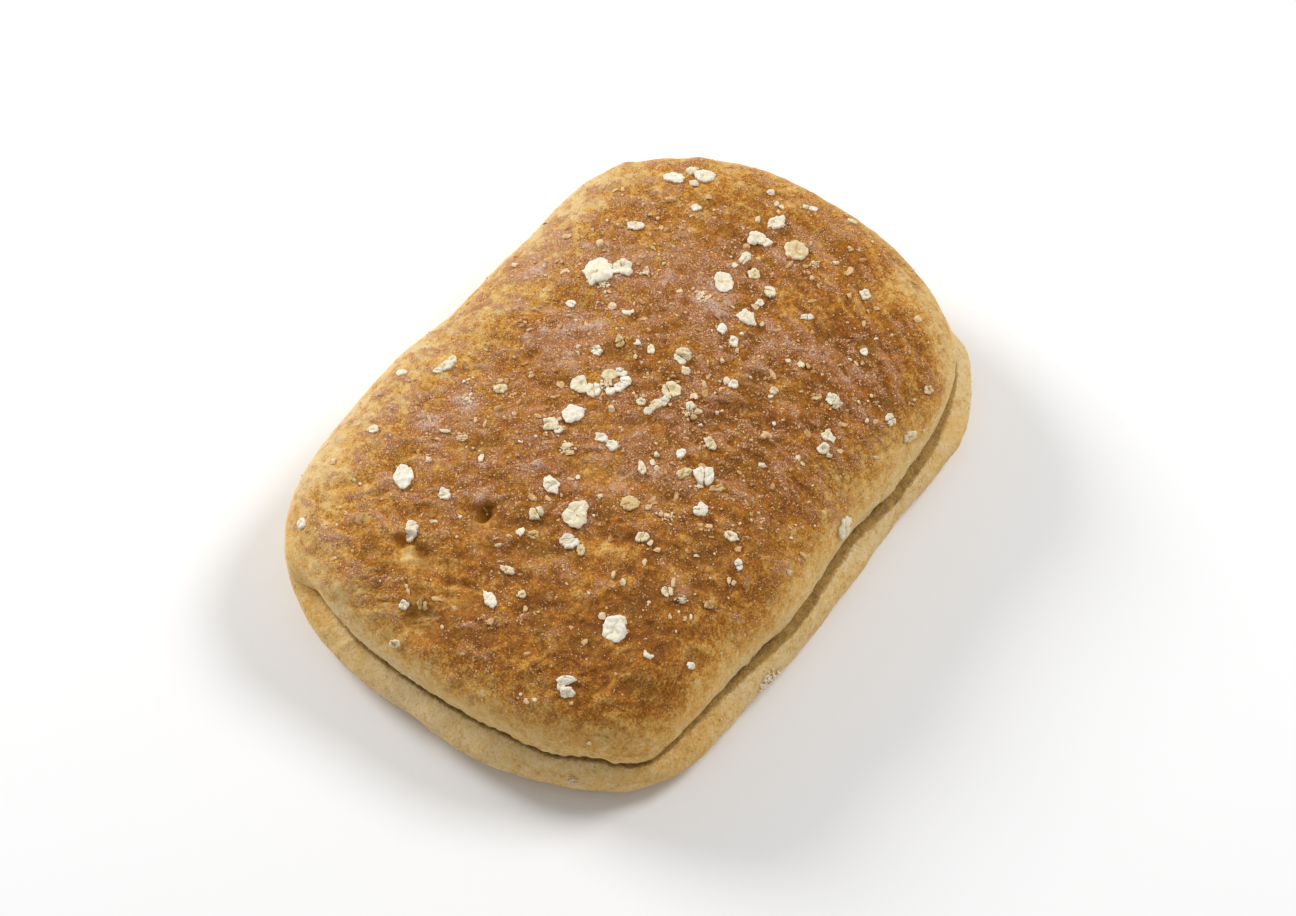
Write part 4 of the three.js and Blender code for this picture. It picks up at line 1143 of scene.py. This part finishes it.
# Flakes: pixel, size in pixels, turn, kind, tone (0 floury white, 0.4 cream, 0.8 tan).
FLAKES = [
    (674, 178, 21, 11, 10, "flake", 0.05), (705, 176, 21, 12, -4, "flake", 0.10), (692, 171, 11, 8, -30, "flake", 0.05),
    (694, 184, 10, 6, 0, "chip", 0.15), (708, 198, 8, 6, 0, "chip", 0.55), (696, 208, 10, 8, 20, "flake", 0.05),
    (672, 200, 11, 5, 0, "chip", 0.7), (636, 226, 18, 9, 5, "flake", 0.08), (600, 244, 8, 7, 0, "chip", 0.35),
    (597, 272, 33, 20, 24, "flake", 0.04), (623, 269, 23, 18, 8, "flake", 0.22), (571, 304, 11, 8, -30, "flake", 0.0),
    (612, 307, 9, 7, 0, "chip", 0.3), (628, 309, 15, 9, 0, "curl", 0.1), (770, 193, 9, 6, 0, "chip", 0.1),
    (776, 204, 6, 5, 0, "chip", 0.15), (782, 208, 6, 5, 0, "chip", 0.2), (779, 212, 5, 5, 0, "chip", 0.4),
    (758, 220, 6, 7, 0, "chip", 0.2), (776, 224, 18, 15, 0, "flake", 0.08), (757, 239, 17, 14, -15, "flake", 0.12),
    (767, 243, 10, 9, -35, "flake", 0.10), (797, 251, 25, 20, -8, "round", 0.42), (746, 248, 8, 8, 0, "chip", 0.75),
    (745, 259, 11, 13, -35, "flake", 0.12), (735, 266, 7, 6, 0, "chip", 0.1), (754, 275, 13, 12, -10, "flake", 0.32),
    (724, 283, 20, 21, 0, "round", 0.08), (770, 292, 11, 12, 30, "flake", 0.15), (760, 303, 10, 7, 0, "flake", 0.0),
    (746, 318, 18, 18, 20, "flake", 0.18), (762, 324, 5, 5, 0, "chip", 0.2), (722, 329, 10, 12, 0, "flake", 0.05),
    (734, 342, 9, 11, 10, "flake", 0.02), (620, 342, 9, 11, 0, "flake", 0.6), (634, 341, 8, 10, 60, "curl", 0.1),
    (651, 350, 8, 9, 20, "flake", 0.05), (635, 357, 5, 5, 0, "chip", 0.3), (597, 351, 11, 10, 0, "flake", 0.1),
    (683, 356, 17, 17, 10, "flake", 0.38), (686, 371, 9, 9, 0, "flake", 0.36), (722, 361, 5, 5, 0, "chip", 0.4),
    (579, 385, 16, 17, 0, "flake", 0.28), (594, 390, 15, 14, 15, "flake", 0.12), (609, 375, 17, 13, 8, "flake", 0.55),
    (621, 373, 12, 8, -35, "flake", 0.05), (626, 381, 11, 11, 0, "flake", 0.0), (619, 388, 14, 9, 35, "flake", 0.04), (611, 392, 10, 7, 15, "flake", 0.05), (671, 391, 19, 17, 0, "bowl", 0.30), (664, 402, 13, 8, 50, "flake", 0.12), (656, 404, 15, 9, 38, "flake", 0.20),
    (641, 402, 10, 8, -10, "flake", 0.25), (648, 411, 9, 8, 40, "flake", 0.10), (690, 406, 10, 9, 0, "flake", 0.12),
    (698, 412, 8, 7, 30, "chip", 0.3), (693, 417, 7, 6, 0, "chip", 0.6), (727, 381, 7, 8, 0, "chip", 0.1),
    (733, 385, 10, 9, -20, "flake", 0.0), (774, 391, 9, 8, 0, "flake", 0.45), (771, 397, 6, 4, 0, "chip", 0.2),
    (573, 414, 21, 17, -5, "round", 0.10), (550, 424, 15, 15, -30, "flake", 0.42), (558, 430, 10, 8, -20, "flake", 0.15),
    (602, 439, 15, 9, -28, "flake", 0.02), (612, 446, 12, 9, -35, "flake", 0.12), (568, 446, 11, 6, -10, "chip", 0.25),
    (570, 453, 11, 5, 5, "chip", 0.5), (468, 398, 9, 9, 0, "powder", 0.15), (501, 389, 14, 9, 10, "flake", 0.30),
    (500, 381, 7, 4, 0, "chip", 0.4), (446, 366, 15, 9, 28, "flake", 0.20), (453, 360, 8, 9, 40, "flake", 0.28),
    (438, 371, 9, 6, 10, "flake", 0.05), (401, 373, 11, 7, 25, "flake", 0.10), (374, 430, 10, 9, 0, "flake", 0.0),
    (428, 460, 7, 6, 0, "chip", 0.2), (482, 459, 7, 7, 0, "chip", 0.05), (404, 477, 20, 21, 0, "round", 0.20),
    (445, 495, 13, 13, 20, "flake", 0.18), (412, 528, 12, 11, 0, "flake", 0.02), (434, 522, 10, 4, -5, "chip", 0.35),
    (302, 524, 7, 10, 20, "flake", 0.05), (551, 485, 16, 20, 20, "flake", 0.02), (537, 513, 16, 12, 15, "flake", 0.22),
    (576, 515, 25, 26, 0, "round", 0.40), (582, 508, 13, 14, 0, "flake", 0.30), (629, 504, 20, 14, -8, "flake", 0.70),
    (704, 476, 20, 19, 0, "flake", 0.0), (684, 474, 17, 9, 28, "flake", 0.66), (716, 489, 17, 7, 12, "flake", 0.8),
    (701, 510, 15, 14, 0, "flake", 0.10), (710, 444, 10, 14, 20, "flake", 0.25), (681, 454, 11, 9, 30, "flake", 0.05),
    (642, 468, 8, 14, 15, "flake", 0.10), (653, 463, 6, 7, 0, "chip", 0.1), (657, 468, 6, 5, 0, "chip", 0.15),
    (569, 542, 19, 14, 6, "flake", 0.06), (581, 550, 8, 11, 0, "flake", 0.6), (611, 540, 6, 7, 0, "chip", 0.85),
    (642, 538, 14, 10, 0, "flake", 0.35), (650, 543, 6, 6, 0, "chip", 0.2), (657, 550, 7, 5, 0, "chip", 0.35),
    (731, 537, 16, 10, -32, "flake", 0.05), (697, 556, 7, 3, 0, "chip", 0.05), (739, 565, 8, 12, 5, "flake", 0.0),
    (739, 550, 9, 6, 0, "chip", 0.75), (613, 575, 4, 7, -20, "chip", 0.4), (520, 532, 8, 8, -40, "flake", 0.05),
    (534, 535, 12, 10, 0, "flake", 0.7), (499, 545, 8, 4, 10, "chip", 0.2), (507, 570, 16, 7, -25, "flake", 0.40),
    (490, 600, 11, 18, 30, "flake", 0.02), (522, 595, 8, 8, 0, "flake", 0.32), (491, 622, 7, 6, 0, "chip", 0.6),
    (404, 605, 10, 10, 0, "flake", 0.02), (422, 604, 10, 13, 0, "flake", 0.82), (396, 643, 11, 8, 10, "flake", 0.35),
    (614, 629, 25, 26, 0, "round", 0.10), (620, 622, 15, 14, 0, "flake", 0.16), (602, 617, 7, 7, 0, "chip", 0.3),
    (566, 680, 19, 9, 12, "flake", 0.03), (561, 686, 8, 12, 0, "flake", 0.06), (567, 692, 15, 11, 0, "flake", 0.05), (527, 701, 6, 6, 0, "chip", 0.2), (584, 643, 9, 5, 45, "chip", 0.6),
    (650, 652, 13, 10, -30, "curl", 0.25), (667, 592, 11, 10, 0, "bowl", 0.35), (691, 666, 8, 7, -20, "flake", 0.12),
    (673, 583, 4, 10, -10, "chip", 0.3), (623, 583, 6, 7, 30, "chip", 0.3), (709, 605, 9, 8, 0, "flake", 0.75),
    (807, 317, 13, 6, 10, "flake", 0.0), (865, 295, 12, 10, -20, "flake", 0.08), (836, 263, 6, 5, 0, "chip", 0.3),
    (810, 209, 15, 5, 0, "flake", 0.30), (852, 222, 9, 5, -20, "flake", 0.30), (864, 352, 8, 9, 0, "flake", 0.05),
    (788, 361, 6, 4, 10, "chip", 0.1), (801, 365, 7, 6, 0, "chip", 0.15), (833, 400, 14, 13, 10, "flake", 0.10),
    (837, 405, 12, 7, 20, "flake", 0.55), (816, 397, 11, 7, 0, "flake", 0.7), (928, 390, 9, 9, 0, "flake", 0.50),
    (890, 420, 10, 13, 30, "flake", 0.08), (910, 436, 14, 11, 18, "flake", 0.38), (828, 437, 15, 13, -30, "flake", 0.20),
    (823, 449, 12, 11, 30, "flake", 0.15), (829, 455, 6, 6, 0, "chip", 0.3), (844, 529, 13, 23, -12, "flake", 0.34),
    (798, 458, 5, 6, 0, "chip", 0.2), (761, 466, 8, 5, 0, "chip", 0.1), (840, 452, 7, 5, 0, "chip", 0.5),
    (875, 458, 6, 5, 0, "chip", 0.5), (774, 424, 4, 4, 0, "chip", 0.1), (717, 413, 4, 4, 0, "chip", 0.05),
    (612, 409, 7, 7, 0, "chip", 0.4), (578, 478, 5, 5, 0, "chip", 0.15), (600, 497, 6, 5, 0, "chip", 0.25),
    (709, 527, 7, 4, 0, "chip", 0.5), (803, 555, 9, 5, -40, "chip", 0.6), (788, 571, 5, 6, 0, "chip", 0.2),
    (823, 513, 5, 5, 0, "chip", 0.4), (729, 581, 4, 7, 0, "chip", 0.35), (734, 583, 5, 6, -20, "chip", 0.35),
    (649, 603, 4, 4, 0, "chip", 0.3), (670, 617, 3, 4, 30, "chip", 0.2), (679, 612, 3, 2, 70, "chip", 0.1),
    (685, 618, 4, 3, 10, "chip", 0.4), (691, 617, 3, 5, 0, "chip", 0.1), (682, 600, 10, 6, 20, "powder", 0.1), (571, 703, 4, 4, 0, "chip", 0.4),
    (572, 781, 7, 8, 0, "powder", 0.2), (767, 682, 14, 12, 40, "powder", 0.05), (589, 743, 5, 4, 0, "chip", 0.3),
    (445, 431, 11, 4, -10, "chip", 0.2), (462, 437, 13, 8, 20, "powder", 0.4), (814, 265, 8, 7, 0, "powder", 0.4),
    (514, 414, 5, 4, 0, "chip", 0.3), (334, 462, 6, 5, 0, "chip", 0.4), (460, 517, 4, 4, 0, "chip", 0.1),
    (702, 296, 10, 10, 0, "powder", 0.1), (568, 449, 12, 8, 0, "powder", 0.15), (669, 517, 15, 7, -4, "powder", 0.25),
    (700, 486, 12, 5, 0, "powder", 0.1), (606, 384, 12, 8, 0, "powder", 0.1),
    (690, 411, 14, 9, 0, "powder", 0.3), (645, 272, 10, 6, 0, "powder", 0.2), (602, 284, 14, 5, 0, "powder", 0.2),
    (877, 309, 7, 4, -20, "chip", 0.6), (849, 296, 5, 5, 0, "chip", 0.5), (917, 320, 8, 7, 0, "chip", 0.4),
]

rng = np.random.default_rng(71)
flakes, bits, grains = Pile(), Pile(), Pile()


def put_grain(pile, at, normal, size, tone, detail=0):
    v, f, tones = chip(rng, size, size * rng.uniform(0.6, 1.0), size * rng.uniform(0.6, 0.95), tone, detail)
    pile.add(set_down(v, at, normal, rng.uniform(0, 360)), f, tones)


for px, py, wide_px, high_px, turn, kind, tone in FLAKES:
    at, normal = crust.pixel(px, py)
    if at is None:
        continue
    normal = softened(normal, at, 1.6 if wide_px > 10 else 0.8)
    wide, high = px_sizes(normal, wide_px * 1.08, high_px * 1.08)
    if kind == "powder":
        right, up = view_axes(normal)
        for _ in range(int(16 + wide * high * 5)):
            gx, gy = rng.normal(size=2) * (wide * 0.27, high * 0.27)
            hit, n = crust.cast(at + right * gx + up * gy + normal * 3, -normal, 6.0)
            if hit is not None:
                put_grain(bits, hit, n, rng.uniform(0.3, 0.75), tone + 0.15 * rng.normal(), 0)
        continue
    thick = float(np.clip(0.34 + 0.075 * min(wide, high), 0.35, 0.8))
    if kind == "round":
        v, f, tones = flake(rng, wide, high, thick, tone, 0, 0.35, 0.02, 13)
        pile, conform = flakes, 0.75
    elif kind == "flake":
        v, f, tones = flake(rng, wide, high, thick, tone)
        pile, conform = (flakes, 0.75) if max(wide, high) > 1.6 else (bits, 0.0)
    elif kind == "bowl":
        v, f, tones = flake(rng, wide, high, thick * 0.9, tone, 1, 0.8, 0.03, 12)
        pile, conform = flakes, 0.75
    elif kind == "arc":
        v, f, tones = curl(rng, wide, high, thick, tone, -115 if turn == 0 else 60, 200, 0.5)
        turn = 0 if turn == 0 else 0
        pile, conform = flakes, 0.75
    elif kind == "curl":
        v, f, tones = curl(rng, wide, high * 1.3, thick * 0.9, tone, 190, 160, 0.72)
        pile, conform = flakes, 0.6
    else:
        v, f, tones = chip(rng, wide, high, max(0.35, min(wide, high) * 0.55), tone, 2 if wide > 1.2 else 1)
        pile, conform = bits, 0.0
    tilt = rng.uniform(-0.07, 0.07, 2)
    pile.add(set_down(v, at, normal, turn, tilt, conform), f, tones)

# Bits and flour scattered over the whole top, seeded: more in the floury patches, few near the sides.
inside = np.where(level > 18.5)[0]
dusted = np.clip(flour[inside], 0, 1)
weight = (0.12 + 0.9 * dusted) * ramp(level[inside], 18.5, 22.5)
weight *= np.clip(0.55 + 0.9 * Noise(30)(verts[inside] / 9.0), 0.05, 2.0)
weight /= weight.sum()
for i in rng.choice(inside, 420, p=weight):
    size = float(np.clip(rng.lognormal(math.log(0.62), 0.33), 0.35, 1.4))
    put_grain(bits, verts[i], normals[i], size, rng.choice([0.1, 0.3, 0.5, 0.7]) + 0.1 * rng.normal(), 1 if size > 0.8 else 0)
spread = ramp(level[inside], 18.5, 22.5) * (0.3 + dusted)
for i in rng.choice(inside, 190, p=spread / spread.sum()):
    size = float(np.clip(rng.lognormal(math.log(1.25), 0.35), 0.7, 2.4))
    v, f, tones = chip(rng, size, size * rng.uniform(0.35, 0.7), rng.uniform(0.28, 0.45), rng.uniform(0.4, 0.95), 1)
    bits.add(set_down(v, verts[i], normals[i], rng.uniform(0, 360)), f, tones)
for i in rng.choice(inside, 1300, p=weight):
    shift = rng.normal(size=3) * 0.25
    shift -= normals[i] * (shift @ normals[i])
    size = float(np.clip(rng.lognormal(math.log(0.27), 0.3), 0.15, 0.55))
    put_grain(grains, verts[i] + shift, normals[i], size, rng.uniform(0.0, 0.95), 0)
side = np.where((level > 2.5) & (level < 8.5) | (level > 16) & (level < 18.5))[0]
for i in rng.choice(side, 260):
    size = float(np.clip(rng.lognormal(math.log(0.25), 0.3), 0.15, 0.6))
    put_grain(grains, verts[i], normals[i], size, rng.uniform(0.1, 0.8), 0)

flakes.build("oat_flakes", flake_look)
bits.build("oat_bits", bit_look, False)
grains.build("flour_grains", flour_look)

# ---------------------------------------------------------------- floor, light

floor = Tree("floor")
floor.shader.inputs["Base Color"].default_value = (0.90, 0.90, 0.90, 1.0)
floor.shader.inputs["Roughness"].default_value = 0.9
floor.shader.inputs["Specular IOR Level"].default_value = 0.1
mesh = bpy.data.meshes.new("floor")
mesh.from_pydata([(-3, -3, 0), (3, -3, 0), (3, 3, 0), (-3, 3, 0)], [], [(0, 1, 2, 3)])
mesh.materials.append(floor.material)
ground = bpy.data.objects.new("floor", mesh)
bpy.context.scene.collection.objects.link(ground)

world = bpy.data.worlds.new("studio")
bpy.context.scene.world = world
world.use_nodes = True
world.node_tree.nodes["Background"].inputs["Color"].default_value = (1.0, 1.0, 1.0, 1.0)
world.node_tree.nodes["Background"].inputs["Strength"].default_value = 0.42


def softbox(name, at, toward, size, power):
    data = bpy.data.lights.new(name, "AREA")
    data.shape = "DISK"
    data.size = size
    data.energy = power
    light = bpy.data.objects.new(name, data)
    light.location = at
    light.rotation_euler = (Vector(toward) - Vector(at)).to_track_quat("-Z", "Y").to_euler()
    bpy.context.scene.collection.objects.link(light)


softbox("right", (0.60, -0.30, 0.74), (0, 0, 0.01), 0.35, 5.0)
softbox("left", (-0.02, 0.86, 0.50), (0, 0, 0.01), 0.40, 7.1)

scene = bpy.context.scene
scene.view_settings.view_transform = "Standard"
scene.view_settings.look = "None"
scene.view_settings.exposure = 0.0
scene.view_settings.gamma = 1.0
